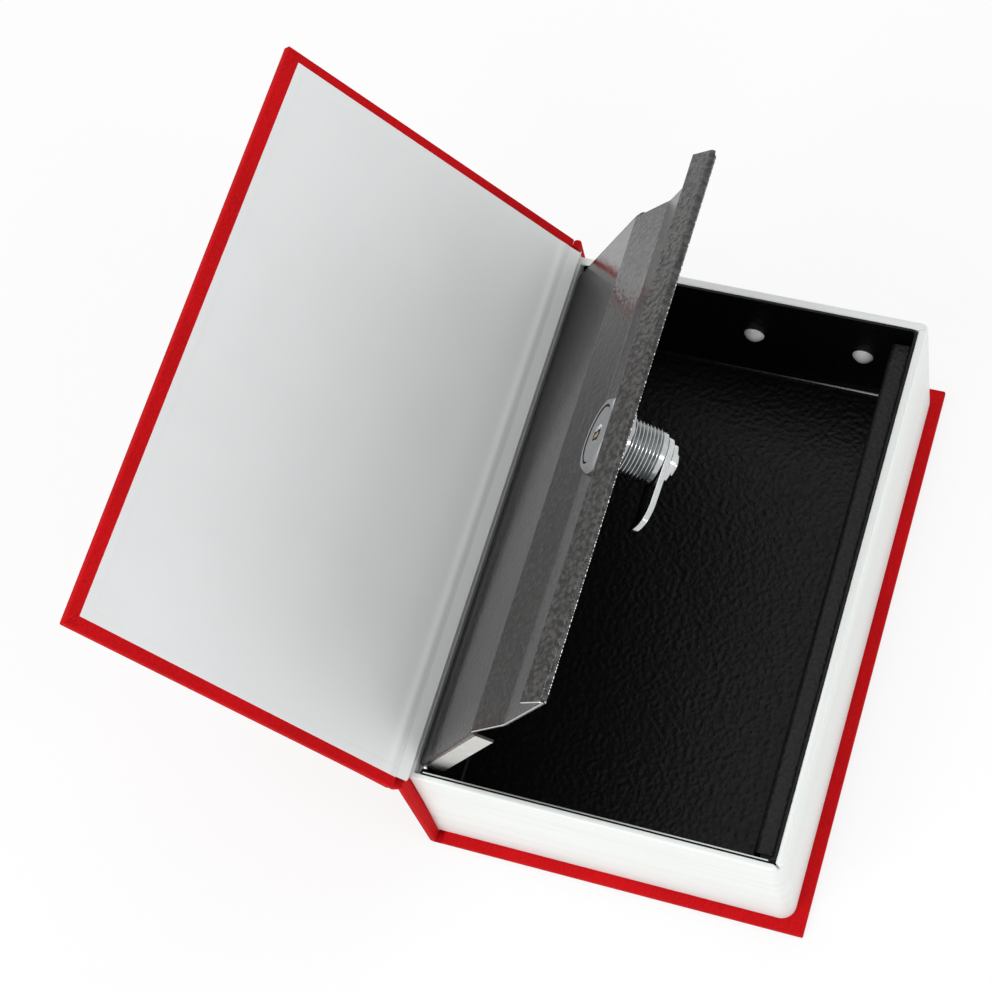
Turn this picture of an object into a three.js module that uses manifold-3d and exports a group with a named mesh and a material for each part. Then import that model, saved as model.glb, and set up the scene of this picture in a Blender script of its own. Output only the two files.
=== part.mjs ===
// Book diversion safe: a cloth-covered book case round a moulded page block,
// a folded steel box, a formed steel lid on a piano hinge and a cam lock.
// Millimetres. X runs from the spine to the fore-edge, Y from the tail to the
// head and Z up. The origin is the centre of the back cover's underside.
// The front cover and the lid stand open, as when the safe is filled.

import * as THREE from 'three';
import { mergeVertices } from 'three/addons/utils/BufferGeometryUtils.js';
import Module from 'manifold-3d';

const wasm = await Module();
wasm.setup();

// Book case
const bookWidth = 115;
const bookLength = 180;
const clothThick = 0.3;
const boardThick = 1.7;
const frontBoardThick = 1.6;
const coverEdgeRadius = 0.8;
const coverCornerRadius = 1.0;
const boardJoint = 2.0;
const frontJointExtra = 1.6;
const hiddenTurnIn = 14;
const frontTurnIn = 4.2;
const linerThick = 0.25;
const endpaperThick = 0.3;
const coverClearance = 0.6;
const spineRise = 2.7;
const frontCoverSlip = 2.1;
const coverOpenAngle = 132.3;
const coverPivotInset = 1.6;
const jointFold = 1.2;

// Page block
const blockHeight = 50.7;
const blockForeSquare = 2.3;
const blockEndSquare = 3.4;
const blockDraft = 1.6;
const blockCornerRadius = 5;
const blockFloor = 3.2;
const spineWall = 1.3;
const blockSpineGap = 0.3;
const spineWallDrop = 5.5;
const pageLineCount = 14;
const pageLineDepth = 0.22;
const pageLineWidth = 0.9;
const pageBandTop = 3.4;
const pageBandBottom = 2.2;
const mitreSlitWidth = 0.8;
const mitreSlitLength = 2.2;
const mitreSlitDepth = 9;

// Steel box
const sheetThick = 0.8;
const trayFit = 0.1;
const rimToForeEdge = 2.6;
const rimToEnd = 2.2;
const trayBendRadius = 1.2;
const rimProud = 0.2;
const rivetHoleRadius = 1.9;
const rivetShankRadius = 1.6;
const rivetHeadRadius = 3.4;
const rivetHeadHeight = 1.6;
const rivetDomeShare = 0.8;
const rivetPitch = 34.2;
const rivetHeight = 30.5;
const rivetsPerEnd = 3;

// Ledge that the lid rests on and the cam locks under
const ledgeWidth = 6.6;
const ledgeLegHeight = 8;
const lidRestGap = 0.9;
const camPassGap = 0.6;

// Piano hinge
const hingeEndRoom = 2;
const knuckleLength = 13.2;
const knuckleRadius = 1.4;
const knuckleGap = 0.2;
const pinRadius = 0.75;
const pinClearance = 0.05;
const pinOverhang = 0.2;
const leafThick = 0.55;
const trayLeafHeight = 11;
const lidLeafWidth = 12;
const leafClearance = 0.35;

// Formed lid
const lidOpenAngle = 62.7;
const lidBelowRim = 0.2;
const lidEndGap = 0.4;
const lidRecessEndStep = 0.8;
const lidPanelReach = 50;
const lidSlopeReach = 15.2;
const lidRecessReach = 34.5;
const lidRecessDepth = 4.4;
const lidReturnAngle = 155;
const lidReturnSink = 0.1;
const lidFlangeDepth = 6.6;
const lidFlangeRadius = 5.3;
const lidEdgeSetback = 0.3;
const bendRadiusSharp = 1.2;
const bendRadiusSoft = 7;
const foldRadius = 1.1;

// Clearance between pieces that meet inside a turned group
const turnGap = 0.3;

// Cam lock, along its own axis from the recess surface
const lockFromSlope = 13.5;
const bezelRadius = 11.2;
const bezelHeight = 2.4;
const bezelChamfer = 1.1;
const barrelRadius = 8;
const barrelLength = 15;
const barrelCollar = 1.6;
const barrelCollarRadius = 7.6;
const plugFaceRadius = 8.2;
const plugFaceThick = 1.2;
const plugFaceSink = 0.25;
const plugRadius = 6;
const tenonSide = 6.4;
const tenonLength = 2.6;
const keyPocketLength = 6.6;
const keyPocketWidth = 3.4;
const keyPocketDepth = 7;
const keySlotLength = 5;
const keySlotWidth = 1.3;
const keyFit = 0.15;
const nutRadius = 9.6;
const nutThick = 1.7;
const nutSlotWidth = 2.4;
const nutSlotDepth = 1.0;
const camThick = 1.6;
const camReach = 21.8;
const camHeadRadius = 6.8;
const camTipWidth = 10.4;
const camBendStart = 14;
const camTipRise = 1.6;
const washerRadius = 5.6;
const washerThick = 1.4;
const screwHeadRadius = 3.3;
const screwHeadHeight = 1.9;
const screwShankRadius = 1.9;
const screwShankLength = 5;
const screwSlotWidth = 1.0;
const screwSlotDepth = 0.8;

// Finishes
const clothRed = new THREE.MeshStandardMaterial({ color: 0xb3141c, roughness: 0.7, metalness: 0 });
const boardGrey = new THREE.MeshStandardMaterial({ color: 0x8c8478, roughness: 0.9, metalness: 0 });
const paperPale = new THREE.MeshStandardMaterial({ color: 0xe4e6e6, roughness: 0.6, metalness: 0 });
const blockWhite = new THREE.MeshStandardMaterial({ color: 0xf0f2f0, roughness: 0.5, metalness: 0 });
const rivetWhite = new THREE.MeshStandardMaterial({ color: 0xd6d8d8, roughness: 0.4, metalness: 0 });
const steelBlack = new THREE.MeshStandardMaterial({ color: 0x0e0e0e, roughness: 0.45, metalness: 0.2 });
const lidGrey = new THREE.MeshStandardMaterial({ color: 0x55524f, roughness: 0.35, metalness: 0.4 });
const steelBright = new THREE.MeshStandardMaterial({ color: 0xb9bcbe, roughness: 0.3, metalness: 1 });
const lockChrome = new THREE.MeshStandardMaterial({ color: 0xc4c6c8, roughness: 0.2, metalness: 1 });
const keyBrass = new THREE.MeshStandardMaterial({ color: 0xb58b3e, roughness: 0.35, metalness: 1 });

// Facets
const cornerSteps = 6;
const bendSteps = 4;
const roundSides = 32;
const smallSides = 16;
const overrun = 1;

// Planes and places worked out from the sizes above, X from the spine's face
const coverThick = clothThick + boardThick + clothThick;
const blockBottom = coverThick;
const rimTop = blockBottom + blockHeight;
const spineTop = rimTop + spineRise + clothThick;
const frontInner = rimTop + coverClearance;
const frontThick = 2 * clothThick + 2 * turnGap + frontBoardThick;
const frontOuter = frontInner + frontThick;
const coverPivotHeight = frontOuter;
const boardStart = coverThick + boardJoint;
const frontBoardStart = boardStart + frontJointExtra;
const blockFore = bookWidth - blockForeSquare;
const blockSpine = coverThick + blockSpineGap;
const blockHalf = bookLength / 2 - blockEndSquare;
const pocketFore = blockFore - blockDraft - rimToForeEdge;
const pocketHalf = blockHalf - blockDraft - rimToEnd;
const pocketSpine = blockSpine + spineWall;
const pocketFloor = blockBottom + blockFloor;
const trayFore = pocketFore - trayFit;
const traySpine = pocketSpine + trayFit;
const trayHalf = pocketHalf - trayFit;
const trayInnerFore = trayFore - sheetThick;
const trayInnerSpine = traySpine + sheetThick;
const trayInnerHalf = trayHalf - sheetThick;
const trayFloorTop = pocketFloor + sheetThick;
const spineWallTop = rimTop - spineWallDrop;
const axisX = trayInnerSpine + knuckleRadius;
const lidTopOffset = knuckleRadius + turnGap + sheetThick;
const axisZ = rimTop - lidBelowRim - lidTopOffset;
const recessOffset = lidTopOffset - lidRecessDepth;
const ledgeTop = axisZ + recessOffset - sheetThick - lidRestGap;
const knuckleCount = Math.floor(2 * (trayInnerHalf - hingeEndRoom) / knuckleLength);
const hingeHalf = knuckleCount * knuckleLength / 2;
const lidHalf = trayInnerHalf - lidEndGap;
const lidRecessHalf = lidHalf - lidRecessEndStep;
const lockReach = lidPanelReach + lidSlopeReach + lockFromSlope;
const camTop = -barrelLength - turnGap;
const ledgeLipBottom = axisZ + recessOffset + camTop + camTipRise + camPassGap;

// Solids

function solidOf(geometry) {
  const bare = geometry.clone();
  bare.deleteAttribute('normal');
  bare.deleteAttribute('uv');
  const merged = mergeVertices(bare);
  return new wasm.Manifold(new wasm.Mesh({
    numProp: 3,
    vertProperties: new Float32Array(merged.attributes.position.array),
    triVerts: new Uint32Array(merged.index.array),
  }));
}

function geometryOf(solid) {
  const mesh = solid.getMesh();
  const geometry = new THREE.BufferGeometry();
  geometry.setAttribute('position', new THREE.BufferAttribute(mesh.vertProperties, 3));
  geometry.setIndex(new THREE.BufferAttribute(mesh.triVerts, 1));
  geometry.computeVertexNormals();
  return geometry;
}

function joined(solids) {
  return solids.reduce((sum, solid) => sum.add(solid));
}

// A block between two corners.
function block(low, high) {
  const size = high.map((value, i) => value - low[i]);
  const middle = high.map((value, i) => (value + low[i]) / 2);
  return solidOf(new THREE.BoxGeometry(...size).translate(...middle));
}

// A block centred across Y.
function centredBlock(x0, x1, half, z0, z1) {
  return block([x0, -half, z0], [x1, half, z1]);
}

function shapeOf(points) {
  return new THREE.Shape(points.map(([a, b]) => new THREE.Vector2(a, b)));
}

// An outline in X and Z carried along Y from y0 to y1.
function alongY(shape, y0, y1) {
  const options = { depth: y1 - y0, bevelEnabled: false, curveSegments: smallSides };
  return solidOf(new THREE.ExtrudeGeometry(shape, options).rotateX(Math.PI / 2).translate(0, y1, 0));
}

// An outline in X and Y carried along Z from z0 to z1.
function alongZ(shape, z0, z1) {
  const options = { depth: z1 - z0, bevelEnabled: false, curveSegments: smallSides };
  return solidOf(new THREE.ExtrudeGeometry(shape, options).translate(0, 0, z0));
}

// An outline in Y and Z carried along X from x0 to x1.
function alongX(shape, x0, x1) {
  const options = { depth: x1 - x0, bevelEnabled: false, curveSegments: smallSides };
  const turn = new THREE.Matrix4().makeBasis(
    new THREE.Vector3(0, 1, 0),
    new THREE.Vector3(0, 0, 1),
    new THREE.Vector3(1, 0, 0),
  );
  return solidOf(new THREE.ExtrudeGeometry(shape, options).applyMatrix4(turn).translate(x0, 0, 0));
}

// A body of revolution about Z from a closed outline of radius and height.
function turned(points, sides) {
  const outline = [...points, points[0]].map(([r, z]) => new THREE.Vector2(r, z));
  return solidOf(new THREE.LatheGeometry(outline, sides).rotateX(Math.PI / 2));
}

function disc(radius, z0, z1, sides) {
  return turned([[0, z0], [radius, z0], [radius, z1], [0, z1]], sides);
}

// The corner arc of an outline, counter-clockwise about its centre.
function cornerArc(cx, cy, radius, start, steps) {
  const points = [];
  for (let i = 0; i <= steps; i += 1) {
    const angle = start + Math.PI / 2 * i / steps;
    points.push([cx + radius * Math.cos(angle), cy + radius * Math.sin(angle)]);
  }
  return points;
}

// A rectangle whose two spine corners and two fore corners have their own radii.
function roundedOutline(x0, x1, half, spineRadius, foreRadius, steps) {
  return [
    ...cornerArc(x1 - foreRadius, -half + foreRadius, foreRadius, -Math.PI / 2, steps),
    ...cornerArc(x1 - foreRadius, half - foreRadius, foreRadius, 0, steps),
    ...cornerArc(x0 + spineRadius, half - spineRadius, spineRadius, Math.PI / 2, steps),
    ...cornerArc(x0 + spineRadius, -half + spineRadius, spineRadius, Math.PI, steps),
  ];
}

// A solid through a stack of convex outlines with the same number of points.
function lofted(rings) {
  const count = rings[0].points.length;
  const positions = rings.flatMap(({ points, z }) => points.flatMap(([x, y]) => [x, y, z]));
  const index = [];
  for (let level = 0; level + 1 < rings.length; level += 1) {
    for (let i = 0; i < count; i += 1) {
      const a = level * count + i;
      const b = level * count + (i + 1) % count;
      index.push(a, b, b + count, a, b + count, a + count);
    }
  }
  const top = (rings.length - 1) * count;
  for (let i = 1; i + 1 < count; i += 1) {
    index.push(0, i + 1, i, top, top + i, top + i + 1);
  }
  const geometry = new THREE.BufferGeometry();
  geometry.setAttribute('position', new THREE.Float32BufferAttribute(positions, 3));
  geometry.setIndex(index);
  return solidOf(geometry);
}

// The centre line of a bent strip: corner points with a radius at each inner one.
function bentPath(corners, radii) {
  const path = [corners[0]];
  for (let i = 1; i + 1 < corners.length; i += 1) {
    const corner = new THREE.Vector2(...corners[i]);
    const before = new THREE.Vector2(...corners[i - 1]).sub(corner).normalize();
    const after = new THREE.Vector2(...corners[i + 1]).sub(corner).normalize();
    const half = Math.acos(before.dot(after)) / 2;
    const radius = radii[i - 1];
    const towards = before.clone().add(after).normalize();
    const centre = corner.clone().addScaledVector(towards, radius / Math.sin(half));
    const start = corner.clone().addScaledVector(before, radius / Math.tan(half)).sub(centre);
    const side = Math.sign(start.cross(towards.clone().negate()));
    const sweep = side * (Math.PI - 2 * half);
    for (let step = 0; step <= bendSteps; step += 1) {
      const spoke = start.clone().rotateAround(new THREE.Vector2(), sweep * step / bendSteps);
      path.push([centre.x + spoke.x, centre.y + spoke.y]);
    }
  }
  path.push(corners[corners.length - 1]);
  return path;
}

// The closed outline of a strip of even thickness about a centre line.
function stripShape(path, thick) {
  const points = path.map(([a, b]) => new THREE.Vector2(a, b));
  const left = [];
  const right = [];
  points.forEach((point, i) => {
    const before = points[Math.max(i - 1, 0)];
    const after = points[Math.min(i + 1, points.length - 1)];
    const inward = point.clone().sub(before).normalize();
    const outward = after.clone().sub(point).normalize();
    const run = inward.clone().add(outward).normalize();
    const spread = i === 0 || i === points.length - 1 ? 1 : inward.dot(run);
    const normal = new THREE.Vector2(-run.y, run.x).multiplyScalar(thick / 2 / spread);
    left.push(point.clone().add(normal));
    right.push(point.clone().sub(normal));
  });
  return new THREE.Shape([...left, ...right.reverse()]);
}

// Book case

// A cloth-covered board: an even slab with rounded edges and corners.
function coverSlab(x0, x1, half, z0, z1) {
  const edge = Math.min(coverEdgeRadius, (z1 - z0) / 2);
  const rings = [];
  const addRing = (angle, z) => {
    const inset = edge * (1 - Math.cos(angle));
    const radius = Math.max(coverCornerRadius - inset, coverEdgeRadius - inset / 2);
    const points = roundedOutline(x0 + inset, x1 - inset, half - inset, radius, radius, bendSteps);
    rings.push({ points, z });
  };
  for (let i = 0; i <= bendSteps; i += 1) {
    const angle = Math.PI / 2 * (1 - i / bendSteps);
    addRing(angle, z0 + edge * (1 - Math.sin(angle)));
  }
  for (let i = 0; i <= bendSteps; i += 1) {
    const angle = Math.PI / 2 * i / bendSteps;
    addRing(angle, z1 - edge * (1 - Math.sin(angle)));
  }
  return lofted(rings);
}

function backBoard() {
  const half = bookLength / 2 - clothThick;
  return centredBlock(boardStart, bookWidth - clothThick, half, clothThick, clothThick + boardThick);
}

function spineBoard() {
  const half = bookLength / 2 - clothThick;
  return centredBlock(clothThick, clothThick + boardThick, half, clothThick, spineTop - clothThick);
}

// Cloth round the back board and the spine, turned in over their edges.
function caseCloth() {
  const half = bookLength / 2;
  const innerHalf = half - hiddenTurnIn;
  const back = coverSlab(0, bookWidth, half, 0, coverThick);
  const spine = coverSlab(0, coverThick, half, 0, spineTop);
  const backWindow = centredBlock(coverThick, bookWidth - hiddenTurnIn, innerHalf,
    clothThick, coverThick + overrun);
  const spineWindow = centredBlock(clothThick, coverThick + overrun, innerHalf,
    coverThick, spineTop - clothThick - boardThick);
  const groove = centredBlock(coverThick, boardStart, half + overrun, 2 * clothThick, coverThick + overrun);
  return joined([back, spine])
    .subtract(backBoard())
    .subtract(spineBoard())
    .subtract(backWindow)
    .subtract(spineWindow)
    .subtract(groove);
}

function spineLiner() {
  const half = bookLength / 2 - hiddenTurnIn;
  const inner = clothThick + boardThick;
  return centredBlock(inner, inner + linerThick, half, coverThick, spineTop - clothThick - boardThick);
}

// The front cover is drawn closed, measured from its pivot, and then turned open.
const coverX = (x) => x - coverPivotInset;
const coverZ = (z) => z - coverPivotHeight;

function frontBoardBlock(grow) {
  const half = bookLength / 2 - clothThick - turnGap + grow;
  const x0 = coverX(frontBoardStart) - grow;
  const x1 = coverX(bookWidth - clothThick - turnGap) + grow;
  const z0 = coverZ(frontInner + clothThick + turnGap) - grow;
  return centredBlock(x0, x1, half, z0, z0 + frontBoardThick + 2 * grow);
}

function frontCloth() {
  const half = bookLength / 2;
  const x0 = coverX(frontBoardStart - turnGap - clothThick);
  const x1 = coverX(bookWidth);
  const slab = coverSlab(x0, x1, half, coverZ(frontInner), coverZ(frontOuter));
  const window = centredBlock(x0 - overrun, x1 - frontTurnIn, half - frontTurnIn,
    coverZ(frontInner) - overrun, coverZ(frontOuter - clothThick));
  return slab.subtract(frontBoardBlock(turnGap)).subtract(window);
}

function frontEndpaper() {
  const edge = frontTurnIn + turnGap;
  const z0 = coverZ(frontInner);
  return centredBlock(coverX(frontBoardStart), coverX(bookWidth - edge), bookLength / 2 - edge,
    z0, z0 + endpaperThick);
}

// A point of the closed front cover, carried to where the open cover puts it.
function openedPoint(x, z) {
  const turn = THREE.MathUtils.degToRad(coverOpenAngle);
  const point = new THREE.Vector2(coverX(x), coverZ(z)).rotateAround(new THREE.Vector2(), turn);
  return [point.x + coverPivotInset, point.y + coverPivotHeight];
}

// The cloth that bends between spine and front cover, folded in as the cover stands open.
function jointCloth() {
  const middle = clothThick / 2;
  const start = [middle, spineTop + turnGap];
  const end = openedPoint(frontBoardStart - clothThick - 2 * turnGap, frontOuter - middle);
  const fold = [Math.max(start[0], end[0]) + jointFold, (start[1] + end[1]) / 2];
  const path = bentPath([start, fold, end], [clothThick]);
  return alongY(stripShape(path, clothThick), -bookLength / 2, bookLength / 2 - frontCoverSlip);
}

// The strip of endpaper that runs from the front cover over the spine and down behind the block.
function jointPaper() {
  const half = bookLength / 2 - frontTurnIn - turnGap;
  const face = coverThick + linerThick / 2;
  const middle = frontInner + endpaperThick / 2;
  const end = openedPoint(frontBoardStart - turnGap, middle);
  const low = [face, spineWallTop + turnGap + linerThick];
  const crease = openedPoint(coverPivotInset, middle);
  const path = bentPath([low, [face, spineTop - jointFold], crease, end], [jointFold, jointFold / 2]);
  return alongY(stripShape(path, linerThick), -half - frontCoverSlip, half - frontCoverSlip);
}

// Page block

// How far the block's side lies in at a height: the draft, and a fine line between pages.
function blockRings() {
  const first = blockBottom + pageBandBottom;
  const last = rimTop - pageBandTop;
  const inset = (z) => blockDraft * (z - blockBottom) / blockHeight;
  const levels = [[blockBottom, 0]];
  for (let i = 0; i < pageLineCount; i += 1) {
    const z = first + (last - first) * i / (pageLineCount - 1);
    levels.push([z - pageLineWidth / 2, 0], [z, pageLineDepth], [z + pageLineWidth / 2, 0]);
  }
  levels.push([rimTop, 0]);
  return levels.map(([z, groove]) => {
    const d = inset(z) + groove;
    const points = [
      [blockSpine, -blockHalf + d],
      ...roundedOutline(blockSpine, blockFore - d, blockHalf - d, blockCornerRadius,
        blockCornerRadius, cornerSteps).slice(0, 2 * (cornerSteps + 1)),
      [blockSpine, blockHalf - d],
    ];
    return { points, z };
  });
}

// A slit across the rim at a fore corner, where the lip was mitred.
function mitreSlit(side) {
  const reach = mitreSlitLength + overrun;
  const slit = block([-overrun, -mitreSlitWidth / 2, -mitreSlitDepth],
    [reach, mitreSlitWidth / 2, overrun]);
  const corner = [pocketFore - overrun / 2, side * (pocketHalf - overrun / 2), rimTop];
  return slit.rotate([0, 0, side * 45]).translate(corner);
}

function rivetPlace(index) {
  return (traySpine + trayFore) / 2 + (index - (rivetsPerEnd - 1) / 2) * rivetPitch;
}

// A peg along Y at one rivet place on one end wall.
function rivetPeg(index, side, radius, y0, y1) {
  const peg = disc(radius, y0, y1, smallSides).rotate([-side * 90, 0, 0]);
  return peg.translate([rivetPlace(index), 0, rivetHeight]);
}

function atEachRivet(make) {
  const solids = [];
  for (const side of [-1, 1]) {
    for (let i = 0; i < rivetsPerEnd; i += 1) {
      solids.push(make(i, side));
    }
  }
  return solids;
}

function rivetHoles() {
  return joined(atEachRivet((i, side) => rivetPeg(i, side, rivetHoleRadius, trayInnerHalf - overrun,
    blockHalf - blockDraft)));
}

function pageBlock() {
  const pocket = centredBlock(pocketSpine, pocketFore, pocketHalf, pocketFloor, rimTop + overrun);
  const hingeSide = centredBlock(blockSpine - overrun, pocketSpine + overrun, pocketHalf,
    spineWallTop, rimTop + overrun);
  return lofted(blockRings())
    .subtract(pocket)
    .subtract(hingeSide)
    .subtract(mitreSlit(-1))
    .subtract(mitreSlit(1))
    .subtract(rivetHoles());
}

// A domed rivet through one end wall of the steel box into the block.
function blockRivet(index, side) {
  const face = trayInnerHalf;
  const shoulder = face - rivetHeadHeight / 3;
  const head = turned([
    [0, face - rivetHeadHeight],
    [rivetHeadRadius * rivetDomeShare, face - rivetHeadHeight * rivetDomeShare],
    [rivetHeadRadius, shoulder], [rivetHeadRadius, face], [0, face],
  ], smallSides).rotate([-side * 90, 0, 0]);
  const shank = rivetPeg(index, side, rivetShankRadius, shoulder, pocketHalf + blockDraft / 2);
  return head.translate([rivetPlace(index), 0, rivetHeight]).add(shank);
}

// Steel box

// A block with its floor edges and upright corners rounded alike.
function panSolid(x0, x1, half, z0, z1, radius) {
  const rings = [];
  for (let i = 0; i <= bendSteps; i += 1) {
    const angle = Math.PI / 2 * (1 - i / bendSteps);
    const inset = radius * (1 - Math.cos(angle));
    const points = roundedOutline(x0 + inset, x1 - inset, half - inset, radius, radius, bendSteps);
    rings.push({ points, z: z0 + radius * (1 - Math.sin(angle)) });
  }
  rings.push({ points: roundedOutline(x0, x1, half, radius, radius, bendSteps), z: z1 });
  return lofted(rings);
}

function steelTray() {
  const outer = panSolid(traySpine, trayFore, trayHalf, pocketFloor, rimTop + rimProud,
    trayBendRadius + sheetThick);
  const inner = panSolid(trayInnerSpine, trayInnerFore, trayInnerHalf, trayFloorTop,
    rimTop + rimProud + overrun, trayBendRadius);
  const hingeSide = centredBlock(traySpine - overrun, trayInnerSpine + trayBendRadius,
    trayInnerHalf, spineWallTop, rimTop + rimProud + overrun);
  return outer.subtract(inner).subtract(hingeSide).subtract(rivetHoles());
}

// An inverted channel welded to the fore-edge wall: the lid lands on it, the cam hooks its lip.
function strikeLedge() {
  const half = sheetThick / 2;
  const wall = trayInnerFore - half;
  const lip = trayInnerFore - ledgeWidth + half;
  const top = ledgeTop - half;
  const path = bentPath(
    [[wall, ledgeTop - ledgeLegHeight], [wall, top], [lip, top], [lip, ledgeLipBottom]],
    [bendRadiusSharp, bendRadiusSharp],
  );
  const reach = trayInnerHalf - trayBendRadius;
  return alongY(stripShape(path, sheetThick), -reach, reach);
}

// Piano hinge

// One knuckle rolled from its leaf: the leaf runs down from the ring's flank.
function knuckleShape(leafEnd) {
  const leafInner = knuckleRadius - leafThick;
  const meet = Math.PI + Math.acos(leafInner / knuckleRadius);
  const shape = new THREE.Shape();
  shape.moveTo(-knuckleRadius, -leafEnd);
  shape.lineTo(-leafInner, -leafEnd);
  shape.lineTo(-leafInner, knuckleRadius * Math.sin(meet));
  shape.absarc(0, 0, knuckleRadius, meet, 3 * Math.PI, false);
  shape.lineTo(-knuckleRadius, -leafEnd);
  const bore = new THREE.Path();
  bore.absarc(0, 0, pinRadius + pinClearance, 0, 2 * Math.PI, true);
  shape.holes.push(bore);
  return shape;
}

// A leaf hanging down from the hinge axis, with every second knuckle.
function hingeLeaf(width, first) {
  const root = knuckleRadius + leafClearance;
  const leaf = block([-knuckleRadius, -hingeHalf, -width], [leafThick - knuckleRadius, hingeHalf, -root]);
  const solids = [leaf];
  for (let i = first; i < knuckleCount; i += 2) {
    const y0 = -hingeHalf + i * knuckleLength + knuckleGap / 2;
    solids.push(alongY(knuckleShape(root + leafThick), y0, y0 + knuckleLength - knuckleGap));
  }
  return joined(solids);
}

function hingePin() {
  const half = hingeHalf + pinOverhang;
  return disc(pinRadius, -half, half, smallSides).rotate([90, 0, 0]);
}

// Formed lid, in its closed place about the hinge axis

const slopeStart = lidPanelReach;
const slopeEnd = lidPanelReach + lidSlopeReach;
const lidEnd = slopeEnd + lidRecessReach;

function lidProfile() {
  const halfSheet = sheetThick / 2;
  const panelMiddle = lidTopOffset - halfSheet;
  const recessMiddle = recessOffset - halfSheet;
  const turn = THREE.MathUtils.degToRad(lidReturnAngle);
  const foldCorner = lidEnd - halfSheet - foldRadius + foldRadius * Math.tan(turn / 2);
  const tipHeight = lidTopOffset - lidReturnSink + halfSheet * Math.cos(turn);
  const tip = [foldCorner + (tipHeight - recessMiddle) / Math.tan(turn), tipHeight];
  const corners = [
    [-lidEdgeSetback, panelMiddle], [slopeStart, panelMiddle], [slopeEnd, recessMiddle],
    [foldCorner, recessMiddle], tip,
  ];
  return bentPath(corners, [bendRadiusSharp, bendRadiusSoft, foldRadius]);
}

// The two down-turned side flanges of the flat panel, with their rounded hinge corner.
function lidFlanges() {
  const top = lidTopOffset;
  const bottom = top - lidFlangeDepth;
  const start = -lidEdgeSetback;
  const outline = new THREE.Shape();
  outline.moveTo(start, top - sheetThick);
  outline.lineTo(start, bottom + lidFlangeRadius);
  outline.absarc(start + lidFlangeRadius, bottom + lidFlangeRadius, lidFlangeRadius,
    Math.PI, 1.5 * Math.PI, false);
  outline.lineTo(slopeStart, bottom);
  outline.lineTo(slopeStart, top - sheetThick);
  outline.closePath();
  return [
    alongY(outline, -lidHalf, -lidHalf + sheetThick),
    alongY(outline, lidHalf - sheetThick, lidHalf),
  ];
}

// The long edges over the flanges are bent, not sharp.
function lidPanelEdge(side) {
  const radius = bendRadiusSharp;
  const corner = new THREE.Shape();
  corner.moveTo(side * (lidHalf + overrun), lidTopOffset + overrun);
  corner.lineTo(side * (lidHalf - radius), lidTopOffset + overrun);
  corner.lineTo(side * (lidHalf - radius), lidTopOffset);
  for (let i = 1; i <= bendSteps; i += 1) {
    const angle = Math.PI / 2 * i / bendSteps;
    corner.lineTo(side * (lidHalf - radius + radius * Math.sin(angle)),
      lidTopOffset - radius + radius * Math.cos(angle));
  }
  corner.lineTo(side * (lidHalf + overrun), lidTopOffset - radius);
  corner.closePath();
  return alongX(corner, -lidEdgeSetback - overrun, slopeStart - bendRadiusSharp);
}

function lidPanel() {
  const sheet = alongY(stripShape(lidProfile(), sheetThick), -lidHalf, lidHalf);
  const endTrim = (side) => {
    const [near, far] = [side * lidRecessHalf, side * (lidHalf + overrun)].sort((p, q) => p - q);
    const bottom = recessOffset - 2 * sheetThick;
    const slopeTrim = block([slopeStart + sheetThick, near, bottom],
      [slopeEnd + bendRadiusSoft, far, lidTopOffset + overrun]);
    const recessTrim = block([slopeEnd, near, bottom],
      [lidEnd - sheetThick / 2 - foldRadius, far, recessOffset + turnGap]);
    return slopeTrim.add(recessTrim);
  };
  const hole = disc(barrelRadius + turnGap, recessOffset - 2 * sheetThick,
    recessOffset + sheetThick, roundSides).translate([lockReach, 0, 0]);
  return joined([sheet, ...lidFlanges()])
    .subtract(lidPanelEdge(-1))
    .subtract(lidPanelEdge(1))
    .subtract(endTrim(-1))
    .subtract(endTrim(1))
    .subtract(hole);
}

// Cam lock, along Z from the outer surface of the recess

function lockHousing() {
  const seat = turnGap;
  const face = seat + bezelHeight;
  const recess = face - plugFaceThick - plugFaceSink - turnGap;
  const tail = -barrelLength;
  return turned([
    [plugRadius + turnGap, tail],
    [barrelCollarRadius, tail],
    [barrelCollarRadius, tail + barrelCollar],
    [barrelRadius, tail + barrelCollar + (barrelRadius - barrelCollarRadius)],
    [barrelRadius, seat],
    [bezelRadius, seat],
    [bezelRadius, face - bezelChamfer],
    [bezelRadius - bezelChamfer, face],
    [plugFaceRadius + turnGap, face],
    [plugFaceRadius + turnGap, recess],
    [plugRadius + turnGap, recess],
  ], roundSides);
}

function stadium(length, width) {
  const radius = width / 2;
  const reach = length / 2 - radius;
  const shape = new THREE.Shape();
  shape.moveTo(-reach, -radius);
  shape.lineTo(reach, -radius);
  shape.absarc(reach, 0, radius, -Math.PI / 2, Math.PI / 2, false);
  shape.lineTo(-reach, radius);
  shape.absarc(-reach, 0, radius, Math.PI / 2, 1.5 * Math.PI, false);
  return shape;
}

function tenon(side, z0, z1) {
  const half = side / 2;
  return block([-half, -half, z0], [half, half, z1]);
}

const plugFace = turnGap + bezelHeight - plugFaceSink;

function lockPlug() {
  const tail = -barrelLength;
  const body = turned([
    [0, tail], [plugRadius, tail], [plugRadius, plugFace - plugFaceThick],
    [plugFaceRadius, plugFace - plugFaceThick], [plugFaceRadius, plugFace], [0, plugFace],
  ], roundSides);
  const pocket = alongZ(stadium(keyPocketLength, keyPocketWidth),
    plugFace - keyPocketDepth, plugFace + overrun);
  const tap = disc(screwShankRadius + turnGap / 2, tail - tenonLength - overrun,
    tail - tenonLength + screwShankLength, smallSides);
  return body.add(tenon(tenonSide, tail - tenonLength, tail + overrun)).subtract(pocket).subtract(tap);
}

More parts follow.
